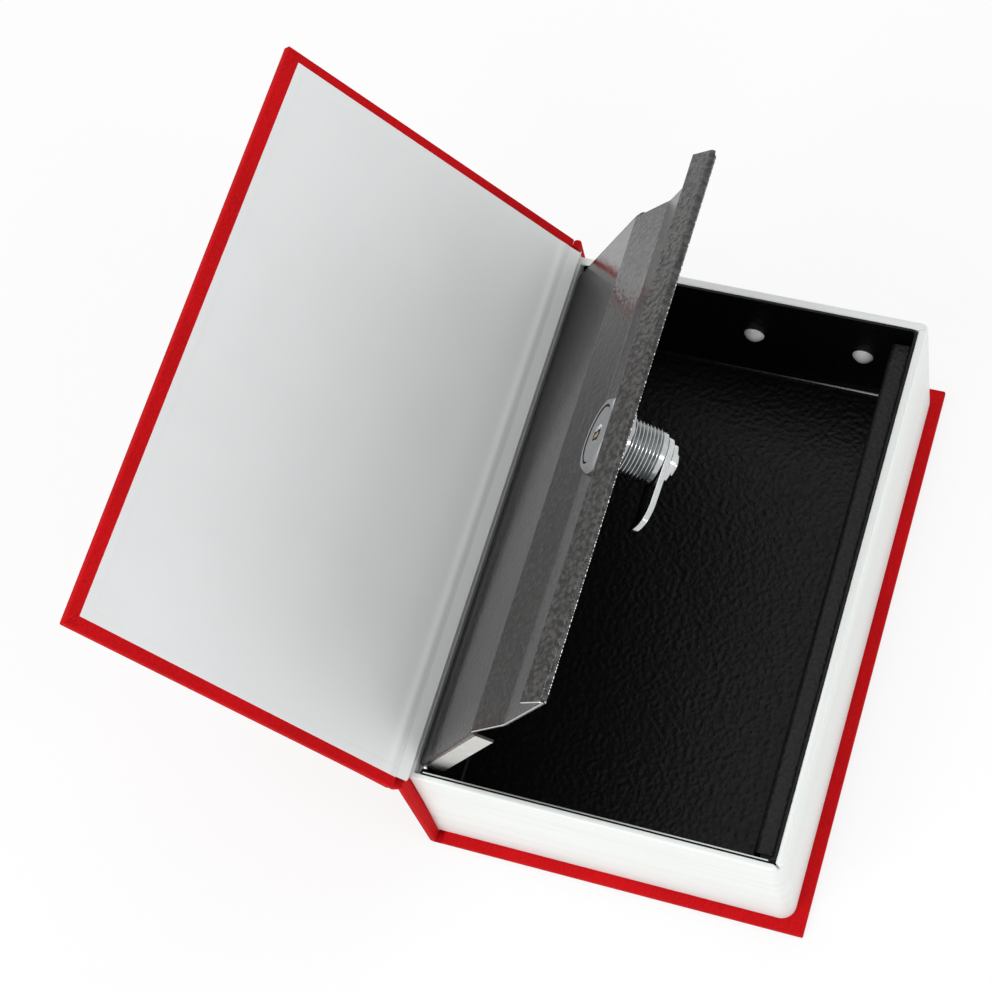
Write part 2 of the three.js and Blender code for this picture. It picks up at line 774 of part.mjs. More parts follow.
function keyCore() {
  const top = plugFace - plugFaceSink;
  const bottom = plugFace - keyPocketDepth + keyFit;
  const core = alongZ(stadium(keyPocketLength - 2 * keyFit, keyPocketWidth - 2 * keyFit), bottom, top);
  const slot = alongZ(stadium(keySlotLength, keySlotWidth), bottom + keySlotWidth, top + overrun);
  return core.subtract(slot);
}

// A ring nut with four spanner slots.
function lockNut() {
  const top = -sheetThick - turnGap;
  const bottom = top - nutThick;
  const bore = barrelRadius + turnGap;
  const ring = turned([[bore, bottom], [nutRadius, bottom], [nutRadius, top], [bore, top]], roundSides);
  const slot = block([nutRadius - nutSlotDepth, -nutSlotWidth / 2, bottom - overrun],
    [nutRadius + overrun, nutSlotWidth / 2, top + overrun]);
  return [0, 90, 180, 270].reduce((solid, turn) => solid.subtract(slot.rotate([0, 0, turn])), ring);
}

// The cam points along -Y, its tip curved up towards the lid.
function camPlate() {
  const middle = camTop - camThick / 2;
  const tipRun = camReach - camBendStart;
  const side = bentPath(
    [[camHeadRadius, middle], [-camBendStart, middle], [-camReach, middle + camTipRise]],
    [2 * tipRun],
  );
  const bent = alongX(stripShape(side, camThick), -camHeadRadius, camHeadRadius);
  const plan = new THREE.Shape();
  const tip = camTipWidth / 2;
  plan.moveTo(camHeadRadius, 0);
  plan.absarc(0, 0, camHeadRadius, 0, Math.PI, false);
  plan.lineTo(-tip, -camBendStart);
  plan.lineTo(-tip, -camReach + tip / 2);
  plan.quadraticCurveTo(-tip, -camReach, -tip / 2, -camReach);
  plan.lineTo(tip / 2, -camReach);
  plan.quadraticCurveTo(tip, -camReach, tip, -camReach + tip / 2);
  plan.lineTo(tip, -camBendStart);
  plan.closePath();
  const column = alongZ(plan, middle - camThick, middle + camTipRise + camThick);
  const hole = tenon(tenonSide + 2 * turnGap, middle - camThick, middle + camThick);
  return bent.intersect(column).subtract(hole);
}

function camWasher() {
  const top = camTop - camThick - turnGap;
  return disc(washerRadius, top - washerThick, top, roundSides)
    .subtract(disc(screwShankRadius + turnGap, top - washerThick - overrun, top + overrun, smallSides))
    .subtract(tenon(tenonSide + 2 * turnGap, -barrelLength - tenonLength - turnGap, top + overrun));
}

function camScrew() {
  const seat = camTop - camThick - 2 * turnGap - washerThick;
  const head = seat - screwHeadHeight;
  const shank = Math.min(seat + screwShankLength, -barrelLength);
  const body = turned([
    [0, head], [screwHeadRadius * Math.SQRT1_2, head], [screwHeadRadius, seat - screwHeadHeight / 2],
    [screwHeadRadius, seat], [screwShankRadius, seat], [screwShankRadius, shank], [0, shank],
  ], smallSides);
  const slot = block([-screwHeadRadius, -screwSlotWidth / 2, head - overrun],
    [screwHeadRadius, screwSlotWidth / 2, head + screwSlotDepth]);
  return body.subtract(slot).subtract(slot.rotate([0, 0, 90]));
}

// Assembly

function piece(name, solid, material) {
  const mesh = new THREE.Mesh(geometryOf(solid), material);
  mesh.name = name;
  return mesh;
}

function bookCase() {
  const group = new THREE.Group();
  group.add(
    piece('back_board', backBoard(), boardGrey),
    piece('spine_board', spineBoard(), boardGrey),
    piece('case_cloth', caseCloth(), clothRed),
    piece('spine_liner', spineLiner(), paperPale),
    piece('joint_cloth', jointCloth(), clothRed),
    piece('joint_paper', jointPaper(), paperPale),
  );
  return group;
}

function frontCover() {
  const group = new THREE.Group();
  group.add(
    piece('front_board', frontBoardBlock(0), boardGrey),
    piece('front_cloth', frontCloth(), clothRed),
    piece('front_endpaper', frontEndpaper(), paperPale),
  );
  group.position.set(coverPivotInset, -frontCoverSlip, coverPivotHeight);
  group.rotation.y = THREE.MathUtils.degToRad(-coverOpenAngle);
  return group;
}

function steelBox() {
  const group = new THREE.Group();
  group.add(
    piece('page_block', pageBlock(), blockWhite),
    piece('steel_tray', steelTray(), steelBlack),
    piece('strike_ledge', strikeLedge(), steelBlack),
    piece('tray_hinge_leaf', hingeLeaf(trayLeafHeight, 0).translate([axisX, 0, axisZ]), steelBlack),
    piece('hinge_pin', hingePin().translate([axisX, 0, axisZ]), steelBright),
  );
  [-1, 1].forEach((side, row) => {
    for (let i = 0; i < rivetsPerEnd; i += 1) {
      group.add(piece(`block_rivet_${row * rivetsPerEnd + i + 1}`, blockRivet(i, side), rivetWhite));
    }
  });
  return group;
}

function camLock() {
  const group = new THREE.Group();
  group.add(
    piece('lock_housing', lockHousing(), lockChrome),
    piece('lock_nut', lockNut(), lockChrome),
    piece('lock_plug', lockPlug(), lockChrome),
    piece('key_core', keyCore(), keyBrass),
    piece('cam', camPlate(), steelBright),
    piece('cam_washer', camWasher(), steelBright),
    piece('cam_screw', camScrew(), steelBright),
  );
  group.position.set(lockReach, 0, recessOffset);
  return group;
}

// The lid leaf lies along the panel, so its hanging form is turned a quarter up.
function lid() {
  const group = new THREE.Group();
  group.add(
    piece('lid_hinge_leaf', hingeLeaf(lidLeafWidth, 1).rotate([0, -90, 0]).mirror([0, 0, 1]), steelBlack),
    piece('lid_panel', lidPanel(), lidGrey),
    camLock(),
  );
  group.position.set(axisX, 0, axisZ);
  group.rotation.y = THREE.MathUtils.degToRad(-lidOpenAngle);
  return group;
}

const safe = new THREE.Group();
safe.add(bookCase(), frontCover(), steelBox(), lid());
safe.position.x = -bookWidth / 2;

const part = new THREE.Group();
part.add(safe);

export default part;
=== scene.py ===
"""Dresses the book diversion safe: cloth case, moulded page block, steel box, formed lid and cam lock."""

import logging
import math
from abc import ABC, abstractmethod
from dataclasses import dataclass, field
from enum import Enum
from functools import cached_property, reduce

import bmesh
import bpy
import numpy as np
from mathutils import Matrix, Vector


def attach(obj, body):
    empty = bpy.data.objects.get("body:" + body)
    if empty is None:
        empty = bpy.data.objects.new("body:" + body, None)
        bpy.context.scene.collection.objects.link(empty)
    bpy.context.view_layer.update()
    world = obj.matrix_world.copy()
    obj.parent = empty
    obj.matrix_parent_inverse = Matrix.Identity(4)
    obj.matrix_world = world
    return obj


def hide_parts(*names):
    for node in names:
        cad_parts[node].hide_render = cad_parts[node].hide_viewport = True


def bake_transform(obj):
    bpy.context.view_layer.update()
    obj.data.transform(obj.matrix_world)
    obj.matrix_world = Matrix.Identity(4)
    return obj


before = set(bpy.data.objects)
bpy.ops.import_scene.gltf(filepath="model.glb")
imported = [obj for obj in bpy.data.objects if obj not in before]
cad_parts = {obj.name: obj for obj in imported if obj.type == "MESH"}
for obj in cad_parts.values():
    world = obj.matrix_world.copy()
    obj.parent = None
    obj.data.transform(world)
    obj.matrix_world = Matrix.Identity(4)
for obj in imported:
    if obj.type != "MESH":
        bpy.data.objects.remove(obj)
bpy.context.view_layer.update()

log = logging.getLogger("book_safe")

# One millimetre in metres, X of the spine's outer face in millimetres, and steps round a turned part
MM = 0.001
SPINE_FACE_X = -57.5
ROUND_STEPS = 96


class Body(Enum):
    """The rigid bodies of the safe."""

    CASE = "case"
    COVER = "front_cover"
    LID = "lid"
    LOCK = "lock_core"


class Slot(Enum):
    """The record's material slots, passed with the new pieces."""

    CLOTH = "cloth"
    ENDPAPER = "endpaper"
    BLOCK = "page_block"
    RIVET = "rivet"
    BOX = "box_steel"
    PIN = "pin_steel"
    LID = "lid_steel"
    CHROME = "lock_chrome"
    BRASS = "key_brass"
    CAM = "cam_steel"


# Shader expressions


class Value:
    """A node's output socket that takes part in Python arithmetic."""

    def __init__(self, graph: "Graph", socket: bpy.types.NodeSocket) -> None:
        """Wraps a socket of a graph."""
        self.graph = graph
        self.socket = socket

    def _math(self, operation: str, first: object, second: object) -> "Value":
        """Adds a Math node.

        Args:
            operation: the node's operation.
            first: a number or a Value.
            second: a number or a Value.

        Returns:
            The node's output.
        """
        return self.graph.node("ShaderNodeMath", {"operation": operation}, {0: first, 1: second}, 0)

    def __add__(self, other: object) -> "Value":
        """Sum."""
        return self._math("ADD", self, other)

    __radd__ = __add__

    def __sub__(self, other: object) -> "Value":
        """Difference."""
        return self._math("SUBTRACT", self, other)

    def __rsub__(self, other: object) -> "Value":
        """Difference from a number."""
        return self._math("SUBTRACT", other, self)

    def __mul__(self, other: object) -> "Value":
        """Product."""
        return self._math("MULTIPLY", self, other)

    __rmul__ = __mul__

    def sine(self) -> "Value":
        """Sine of the value in radians."""
        return self._math("SINE", self, 0.0)

    def over(self, low: float, high: float) -> "Value":
        """A smooth step.

        Args:
            low: where the step is 0.
            high: where the step is 1.

        Returns:
            The step's height.
        """
        settings = {"interpolation_type": "SMOOTHSTEP"}
        return self.graph.node("ShaderNodeMapRange", settings, {0: self, 1: low, 2: high, 3: 0.0, 4: 1.0}, 0)


class Graph:
    """The node graph of one material or world."""

    def __init__(self, tree: bpy.types.NodeTree) -> None:
        """Empties the tree and keeps it."""
        tree.nodes.clear()
        self.tree = tree

    def node(self, kind: str, settings: dict, inputs: dict, output: object) -> Value:
        """Adds a node.

        Args:
            kind: the node's type.
            settings: its properties, set before its sockets.
            inputs: numbers, colours or Values for its sockets.
            output: the name or number of the socket that is returned.

        Returns:
            The chosen output.
        """
        made = self.tree.nodes.new(kind)
        for name, value in settings.items():
            setattr(made, name, value)
        for name, value in inputs.items():
            if isinstance(value, Value):
                self.tree.links.new(value.socket, made.inputs[name])
            else:
                made.inputs[name].default_value = value
        return Value(self, made.outputs[output])

    def place(self) -> Value:
        """The point on the surface, in metres of the shared frame."""
        return self.node("ShaderNodeTexCoord", {}, {}, "Object")

    def chart(self) -> Value:
        """The point on the piece's own flat chart, in millimetres."""
        return self.node("ShaderNodeUVMap", {"uv_map": "chart"}, {}, "UV")

    def axis(self, vector: Value, name: str) -> Value:
        """One coordinate of a vector."""
        return self.node("ShaderNodeSeparateXYZ", {}, {0: vector}, name)

    def stretched(self, vector: Value, scale: tuple) -> Value:
        """A vector scaled along its axes."""
        return self.node("ShaderNodeMapping", {"vector_type": "TEXTURE"}, {0: vector, 3: scale}, 0)

    def noise(self, vector: Value, scale: float, detail: float = 2.0, rough: float = 0.5) -> Value:
        """Soft noise from 0 to 1.

        Args:
            vector: where it is read.
            scale: grains per unit of the vector.
            detail: octaves.
            rough: how strong the finer octaves are.

        Returns:
            The noise.
        """
        inputs = {"Vector": vector, "Scale": scale, "Detail": detail, "Roughness": rough}
        return self.node("ShaderNodeTexNoise", {}, inputs, 0)

    def cells(self, vector: Value, scale: float) -> Value:
        """Distance to the middle of soft random cells."""
        inputs = {"Vector": vector, "Scale": scale, "Smoothness": 0.6, "Randomness": 1.0}
        return self.node("ShaderNodeTexVoronoi", {"feature": "SMOOTH_F1"}, inputs, "Distance")

    def mixed(self, share: object, first: object, second: object) -> Value:
        """A colour between two colours."""
        settings = {"data_type": "RGBA", "clamp_factor": True}
        return self.node("ShaderNodeMix", settings, {0: share, 6: first, 7: second}, 2)

    def bump(self, height: Value, distance: float, strength: float = 1.0) -> Value:
        """A normal bent by a height field.

        Args:
            height: the field, 0 to 1.
            distance: how tall 1 is, in metres.
            strength: the share of it that is used.

        Returns:
            The normal.
        """
        inputs = {"Height": height, "Distance": distance, "Strength": strength}
        return self.node("ShaderNodeBump", {}, inputs, 0)

    def output(self, shader: Value, kind: str = "ShaderNodeOutputMaterial") -> None:
        """Adds an output node and links a shader to it."""
        made = self.tree.nodes.new(kind)
        self.tree.links.new(shader.socket, made.inputs["Surface"])


# Finishes


@dataclass(frozen=True)
class Finish(ABC):
    """A surface finish that makes one material."""

    name: str
    colour: tuple
    roughness: float

    @cached_property
    def material(self) -> bpy.types.Material:
        """The material, made once.

        Returns:
            The material.
        """
        made = bpy.data.materials.new(self.name)
        made.use_nodes = True
        graph = Graph(made.node_tree)
        graph.output(self.shader(graph))
        made.diffuse_color = (*self.colour, 1.0)
        return made

    @abstractmethod
    def shader(self, graph: Graph) -> Value:
        """Builds the shader.

        Args:
            graph: the material's graph.

        Returns:
            The shader output.
        """

    def tint(self, factor: float) -> tuple:
        """The base colour times a factor, with alpha."""
        return (*(min(c * factor, 1.0) for c in self.colour), 1.0)

    def graded(self, graph: Graph, height: Value, span: tuple, tones: tuple) -> Value:
        """The base colour, from a darker to a lighter tone as a field rises over a span."""
        return graph.mixed(height.over(*span), self.tint(tones[0]), self.tint(tones[1]))

    def principled(self, graph: Graph, inputs: dict) -> Value:
        """A Principled shader with this finish's colour and roughness unless inputs say otherwise."""
        base = {"Base Color": self.tint(1.0), "Roughness": self.roughness}
        return graph.node("ShaderNodeBsdfPrincipled", {}, {**base, **inputs}, 0)


@dataclass(frozen=True)
class BookCloth(Finish):
    """Dyed book cloth: a plain weave of fine threads, with uneven dye."""

    pitch: float = 0.52

    def shader(self, graph: Graph) -> Value:
        """Threads are two crossed sine waves of the chart; dye varies in soft clouds and slubs.

        Args:
            graph: the material's graph.

        Returns:
            The shader output.
        """
        chart = graph.chart()
        turn = 2 * math.pi / self.pitch
        wobble = graph.noise(chart, 0.35, 2.0) * 1.2
        across = ((graph.axis(chart, "X") + wobble * 0.25) * turn).sine()
        along = ((graph.axis(chart, "Y") + wobble * 0.25) * turn).sine()
        threads = across * along * 0.5 + 0.5
        slubs = graph.noise(graph.stretched(chart, (1.0, 7.0, 1.0)), 2.2, 3.0, 0.6)
        clouds = graph.noise(graph.place(), 38.0, 3.0, 0.55)
        flecks = graph.noise(chart, 1.3, 3.0, 0.7)
        shade = threads * 0.22 + slubs * 0.26 + clouds * 0.2 + flecks * 0.32
        height = threads * 0.5 + slubs * 0.25 + flecks * 0.25
        return self.principled(graph, {
            "Base Color": self.graded(graph, shade, (0.3, 0.68), (0.62, 1.2)),
            "Normal": graph.bump(height, 0.00016, 0.8),
            "Specular IOR Level": 0.06,
        })


@dataclass(frozen=True)
class Paper(Finish):
    """Smooth coated paper, laid down by hand."""

    def shader(self, graph: Graph) -> Value:
        """A broad soft unevenness in the glue and a very fine tooth.

        Args:
            graph: the material's graph.

        Returns:
            The shader output.
        """
        place = graph.place()
        broad = graph.noise(place, 26.0, 3.0)
        tooth = graph.noise(place, 1800.0, 2.0)
        return self.principled(graph, {
            "Base Color": self.graded(graph, broad, (0.35, 0.65), (0.985, 1.01)),
            "Normal": graph.bump(broad * 0.85 + tooth * 0.15, 0.00035, 0.35),
            "Specular IOR Level": 0.3,
        })


@dataclass(frozen=True)
class MouldedPages(Finish):
    """White moulded plastic whose sides are lined like the edges of pages."""

    def shader(self, graph: Graph) -> Value:
        """Lines are noise squeezed along Z, so they run unevenly round the block; level tops get a darker
        colour, a painted shade.

        Args:
            graph: the material's graph.

        Returns:
            The shader output.
        """
        place = graph.place()
        # Faces that look up get a darker base colour: painted shade on the level tops
        level = graph.axis(graph.node("ShaderNodeNewGeometry", {}, {}, "Normal"), "Z").over(0.75, 0.98)
        fine = graph.noise(graph.stretched(place, (40.0, 40.0, 0.55)), 700.0, 3.0, 0.6)
        broad = graph.noise(graph.stretched(place, (30.0, 30.0, 0.9)), 160.0, 2.0)
        cloud = graph.noise(place, 30.0, 2.0)
        lines = fine * 0.55 + broad * 0.45
        lined = self.graded(graph, lines, (0.34, 0.6), (0.95, 1.03))
        clouded = graph.mixed(cloud.over(0.3, 0.7) * 0.4, lined, self.tint(0.97))
        return self.principled(graph, {
            "Base Color": graph.mixed(level, clouded, self.tint(0.85)),
            "Normal": graph.bump(lines, 0.0003, 0.4),
            "Specular IOR Level": 0.35,
        })


@dataclass(frozen=True)
class Onset:
    """Where a coarse relief starts: a height along a direction in X and Z. A lesser share shows before it."""

    x: float
    z: float
    start: float
    least: float
    width: float = 0.001


@dataclass(frozen=True)
class TexturedPaint(Finish):
    """Baked paint that has drawn up into small soft pebbles."""

    grain: float = 900.0
    depth: float = 0.00022
    shine: float = 0.5
    lacquer: float = 0.0
    # Base colour in the relief's valleys and on its tops: painted shade and painted highlight
    tones: tuple = (0.7, 1.3)
    coarse: Onset | None = None

    def relief(self, graph: Graph, place: Value) -> object:
        """How much of the relief shows: all of it, or less below a height along a slanting direction.

        Args:
            graph: the material's graph.
            place: the point on the surface.

        Returns:
            The share, 1 everywhere for a paint without a coarse part.
        """
        part = self.coarse
        if part is None:
            return 1.0
        along = graph.axis(place, "X") * part.x + graph.axis(place, "Z") * part.z
        return along.over(part.start, part.start + part.width) * (1.0 - part.least) + part.least

    def shader(self, graph: Graph) -> Value:
        """Pebbles are soft cells pushed about by noise; the tops are a little smoother than the valleys. The
        colour is darker in the valleys and lighter on the tops: painted shade and painted highlight.

        Args:
            graph: the material's graph.

        Returns:
            The shader output.
        """
        place = graph.place()
        bent = graph.noise(place, self.grain, 1.0, 0.4)
        pebbles = graph.cells(place, self.grain * 0.8)
        height = (1.0 - pebbles) * 0.35 + bent * 0.65
        height = (height - 0.5) * self.relief(graph, place) + 0.5
        return self.principled(graph, {
            "Base Color": self.graded(graph, height, (0.35, 0.7), self.tones),
            "Roughness": self.roughness + (pebbles - 0.4) * 0.1,
            "Normal": graph.bump(height, self.depth, 1.0),
            "Specular IOR Level": self.shine,
            "Coat Weight": self.lacquer,
            "Coat Roughness": 0.14,
        })


@dataclass(frozen=True)
class PlatedMetal(Finish):
    """Bright plated or turned metal with faint handling marks."""

    mark: float = 0.1

    def shader(self, graph: Graph) -> Value:
        """The marks change the roughness a little.

        Args:
            graph: the material's graph.

        Returns:
            The shader output.
        """
        marks = graph.noise(graph.place(), 420.0, 4.0, 0.65)
        return self.principled(graph, {
            "Base Color": self.graded(graph, marks, (0.3, 0.7), (0.9, 1.04)),
            "Roughness": self.roughness + (marks - 0.5) * self.mark,
            "Metallic": 1.0,
        })


@dataclass(frozen=True)
class PlainMatter(Finish):
    """An even matter with a slight mottling, such as board or moulded plastic."""

    grain: float = 500.0
    shine: float = 0.4

    def shader(self, graph: Graph) -> Value:
        """Soft noise in the colour and the surface.

        Args:
            graph: the material's graph.

        Returns:
            The shader output.
        """
        mottle = graph.noise(graph.place(), self.grain, 3.0)
        return self.principled(graph, {
            "Base Color": self.graded(graph, mottle, (0.3, 0.7), (0.93, 1.04)),
            "Normal": graph.bump(mottle, 0.00005, 0.5),
            "Specular IOR Level": self.shine,
        })


RED_CLOTH = BookCloth("red_book_cloth", (0.57, 0.005, 0.008), 0.7)
ENDPAPER = Paper("pale_endpaper", (0.76, 0.775, 0.78), 0.5)
BOARD = PlainMatter("grey_board", (0.3, 0.27, 0.23), 0.9)
PAGES = MouldedPages("moulded_pages", (0.84, 0.87, 0.85), 0.45)
RIVET = PlainMatter("white_rivet", (0.93, 0.94, 0.93), 0.35)
BLACK_PAINT = TexturedPaint("black_box_paint", (0.0025, 0.0025, 0.0025), 0.36, 650.0, 0.0003, 0.12)
PAST_THE_SLOPE = Onset(x=0.4586, z=0.8886, start=0.1128, least=0.3)
# The lid's wide tones paint shade into the pebble valleys and highlights onto their tops
LID_PAINT = TexturedPaint("hammered_lid_paint", (0.016, 0.0155, 0.0145), 0.19, 760.0, 0.0008, 0.4,
                          lacquer=0.15, tones=(0.25, 3.2), coarse=PAST_THE_SLOPE)
LEDGE_PAINT = TexturedPaint("ledge_paint", (0.007, 0.007, 0.007), 0.45, 900.0, 0.0003, 0.17)
FOLD_PAINT = TexturedPaint("fold_paint", (0.02, 0.02, 0.02), 0.18, 900.0, 0.00005, 0.5, 1.0)
CHROME = PlatedMetal("lock_plate", (0.42, 0.425, 0.44), 0.12)
THREAD = PlatedMetal("thread_plate", (0.48, 0.495, 0.5), 0.22)
# Bright metal for the lid's cut edges, partly bare steel and partly painted highlight, and for the flanges'
# outsides, a painted reflection
BARE_EDGE_AND_GLARE = PlatedMetal("bare_edge_and_painted_glare", (0.62, 0.615, 0.59), 0.34)
# Bright bare steel for the pin end and key parts; on the lid's fold the same finish paints glints
BARE_STEEL_AND_GLINT = PlatedMetal("bare_steel_and_painted_glint", (0.8, 0.81, 0.8), 0.3)
# Metal for the box's tail rim edge, partly bare steel and partly painted highlight
RIM_EDGE_AND_GLINT = PlatedMetal("box_edge_and_painted_glint", (0.33, 0.34, 0.33), 0.4)
# Near-black matter for dark pieces that stand in for shadow: painted shade
SHADE = PlainMatter("painted_gap_shade", (0.004, 0.004, 0.004), 0.8, 500.0, 0.05)
BRASS = PlatedMetal("key_brass", (0.5, 0.4, 0.16), 0.26)
ZINC = PlatedMetal("cam_zinc", (0.58, 0.595, 0.6), 0.14)
PIN_STEEL = PlatedMetal("pin_steel", (0.42, 0.42, 0.42), 0.35)


# Shapes


@dataclass
class Shell:
    """A mesh as arrays: points in millimetres, faces as lists of point numbers, and which are cut faces;
    these take a bright second finish that partly paints highlight and reflection.
    """

    points: np.ndarray
    faces: list
    cut: list = field(default_factory=list)

    def plus(self, other: "Shell") -> "Shell":
        """Both shells as one mesh.

        Args:
            other: the shell that is added.

        Returns:
            The joined shell.
        """
        shifted = [[i + len(self.points) for i in face] for face in other.faces]
        cut = self.cut + [i + len(self.faces) for i in other.cut]
        return Shell(np.concatenate([self.points, other.points]), self.faces + shifted, cut)

    def moved(self, x: float, z: float) -> "Shell":
        """The shell shifted along X and Z."""
        return Shell(self.points + np.array([x, 0.0, z]), self.faces, self.cut)


def joined(*shells: Shell) -> Shell:
    """Several shells as one mesh."""
    return reduce(Shell.plus, shells)


def full_turn(steps: int) -> np.ndarray:
    """Even angles round a circle, from 0."""
    return np.arange(steps) * 2 * np.pi / steps


def at_height(flat: np.ndarray, z: float) -> np.ndarray:
    """Points of a plan at one height."""
    return np.concatenate([flat, np.full((len(flat), 1), z)], 1)


def skin(rings: np.ndarray, looped: bool = False) -> Shell:
    """Joins a stack of closed rings by quads: point (r, p) to (r, p+1), (r+1, p+1) and (r+1, p).

    Args:
        rings: array of rings by points by 3.
        looped: the last ring joins the first; otherwise a flat face closes each end.

    Returns:
        The shell.
    """
    count, size = rings.shape[:2]
    index = np.arange(count * size).reshape(count, size)
    upper = np.roll(index, -1, axis=0) if looped else index[1:]
    lower = index if looped else index[:-1]
    quads = np.stack([lower, np.roll(lower, -1, 1), np.roll(upper, -1, 1), upper], -1)
    faces = quads.reshape(-1, 4).tolist()
    if not looped:
        faces += [index[0][::-1].tolist(), index[-1].tolist()]
    return Shell(rings.reshape(-1, 3).astype(float), faces)


def slab(face: np.ndarray, back: float) -> Shell:
    """Closes a grid of points by a wall round it and a flat back.

    Args:
        face: array of rows by columns by 3, the shaped face.
        back: Z of the back.

    Returns:
        The shell.
    """
    rows, columns = face.shape[:2]
    index = np.arange(rows * columns).reshape(rows, columns)
    quads = np.stack([index[:-1, :-1], index[1:, :-1], index[1:, 1:], index[:-1, 1:]], -1).reshape(-1, 4)
    rim = np.concatenate([index[:-1, 0], index[-1, :-1], index[:0:-1, -1], index[0, :0:-1]])
    points = face.reshape(-1, 3)
    low = points[rim] * [1, 1, 0] + [0, 0, back]
    foot = np.arange(len(rim)) + len(points)
    walls = np.stack([rim, np.roll(rim, -1), np.roll(foot, -1), foot], -1)
    faces = quads.tolist() + walls.tolist() + [foot.tolist()]
    return Shell(np.concatenate([points, low]), faces)


def capped(rings: np.ndarray, axis: int, foot: float) -> Shell:
    """Closes a dome by its last ring set again at a foot.

    Args:
        rings: array of rings by points by 3, from the middle out.
        axis: the dome's axis, 0 to 2.
        foot: where the foot stands on that axis.

    Returns:
        The shell.
    """
    last = rings[-1:].copy()
    last[..., axis] = foot
    return skin(np.concatenate([rings, last]))


def revolved(profile: list, looped: bool = True) -> Shell:
    """Turns a profile of radius and height about Z: (r cos a, r sin a, z).

    Args:
        profile: radius and height pairs in millimetres.
        looped: the profile is closed; otherwise it starts and ends on the axis.

    Returns:
        The shell.
    """
    outline = np.array(profile, float)
    angle = full_turn(ROUND_STEPS)
    r, z = outline[:, :1], outline[:, 1:]
    rings = np.stack([r * np.cos(angle), r * np.sin(angle), z + 0 * angle], -1)
    return skin(rings, looped)


def bent_path(corners: list, radii: list, steps: int = 10, closed: bool = False) -> np.ndarray:
    """Rounds the corners of a path.

    Each arc has its centre on the corner's bisector, at radius / sin(half angle).

    Args:
        corners: points of two coordinates.
        radii: one radius for each inner corner, or for every corner of a closed path.
        steps: steps along each arc.
        closed: the path is a closed outline.

    Returns:
        The points of the rounded path.
    """
    points = np.array(corners, float)
    count = len(points)
    turns = range(count) if closed else range(1, count - 1)
    parts = [] if closed else [points[:1]]
    for place, radius in zip(turns, radii):
        corner = points[place]
        back = points[place - 1] - corner
        ahead = points[(place + 1) % count] - corner
        back, ahead = back / np.linalg.norm(back), ahead / np.linalg.norm(ahead)
        half = math.acos(float(np.clip(back @ ahead, -1, 1))) / 2
        middle = (back + ahead) / np.linalg.norm(back + ahead)
        centre = corner + middle * radius / math.sin(half)
        start = corner + back * radius / math.tan(half) - centre
        side = np.sign(back[1] * ahead[0] - back[0] * ahead[1])
        angle = side * (math.pi - 2 * half) * np.linspace(0, 1, steps + 1)[:, None]
        spoke = np.concatenate([
            start[0] * np.cos(angle) - start[1] * np.sin(angle),
            start[0] * np.sin(angle) + start[1] * np.cos(angle),
        ], 1)
        parts.append(centre + spoke)
    if not closed:
        parts.append(points[-1:])
    return np.concatenate(parts)


def path_normals(path: np.ndarray, closed: bool = False) -> np.ndarray:
    """Left-hand normals of a path, lengthened at its corners so that an offset keeps its distance.

    Args:
        path: points of two coordinates.
        closed: the path is a closed outline.

    Returns:
        One vector for each point.
    """
    if closed:
        before, after = path - np.roll(path, 1, 0), np.roll(path, -1, 0) - path
    else:
        steps = np.diff(path, axis=0)
        before = np.concatenate([steps[:1], steps])
        after = np.concatenate([steps, steps[-1:]])
    before = before / np.linalg.norm(before, axis=1, keepdims=True)
    after = after / np.linalg.norm(after, axis=1, keepdims=True)
    run = before + after
    run = run / np.linalg.norm(run, axis=1, keepdims=True)
    spread = np.clip((run * before).sum(1, keepdims=True), 0.3, 1)
    return np.stack([-run[:, 1], run[:, 0]], 1) / spread


def strip_outline(path: np.ndarray, thick: float) -> np.ndarray:
    """The closed outline of a strip: the path shifted half a thickness to each side."""
    side = path_normals(path) * thick / 2
    return np.concatenate([path + side, (path - side)[::-1]])


def along_y(outline: np.ndarray, low: object, high: object, round_off: float = 0.0, steps: int = 6) -> Shell:
    """Carries an outline of X and Z from one Y to another, its ends rounded by shrinking it towards them.

    Args:
        outline: closed outline, counter-clockwise seen from -Y.
        low: Y of the first end, one number or one for each point.
        high: Y of the last end, likewise.
        round_off: radius of the rounded ends, in millimetres.
        steps: steps of each rounding.

    Returns:
        The shell.
    """
    count = len(outline)
    low, high = np.broadcast_to(low, count), np.broadcast_to(high, count)
    if round_off <= 0:
        inset, depth = np.zeros(1), np.zeros(1)
    else:
        angle = np.linspace(0, np.pi / 2, steps + 1)
        inset, depth = round_off * (1 - np.sin(angle)), round_off * (1 - np.cos(angle))
    inward = path_normals(outline, closed=True)
    area = np.sum(outline[:, 0] * np.roll(outline[:, 1], -1) - np.roll(outline[:, 0], -1) * outline[:, 1])
    inward = inward * np.sign(area)

    def ring(shift: float, y: np.ndarray) -> np.ndarray:
        """One ring: the outline moved inward and set at its Y."""
        flat = outline + inward * shift
        return np.stack([flat[:, 0], y, flat[:, 1]], 1)

    first = [ring(i, low + d) for i, d in zip(inset, depth)]
    last = [ring(i, high - d) for i, d in zip(inset[::-1], depth[::-1])]
    return skin(np.array(first + last))


def rounded_loop(x0: float, x1: float, half: float, radius: float, z: float, steps: int = 6) -> np.ndarray:
    """A ring round a rectangle in plan with rounded corners.

    Args:
        x0: low X.
        x1: high X.
        half: half its width in Y.
        radius: corner radius.
        z: height.
        steps: steps of each corner.

    Returns:
        The ring as points by 3.
    """
    corners = [[x0, -half], [x1, -half], [x1, half], [x0, half]]
    return at_height(bent_path(corners, [radius] * 4, steps, closed=True), z)


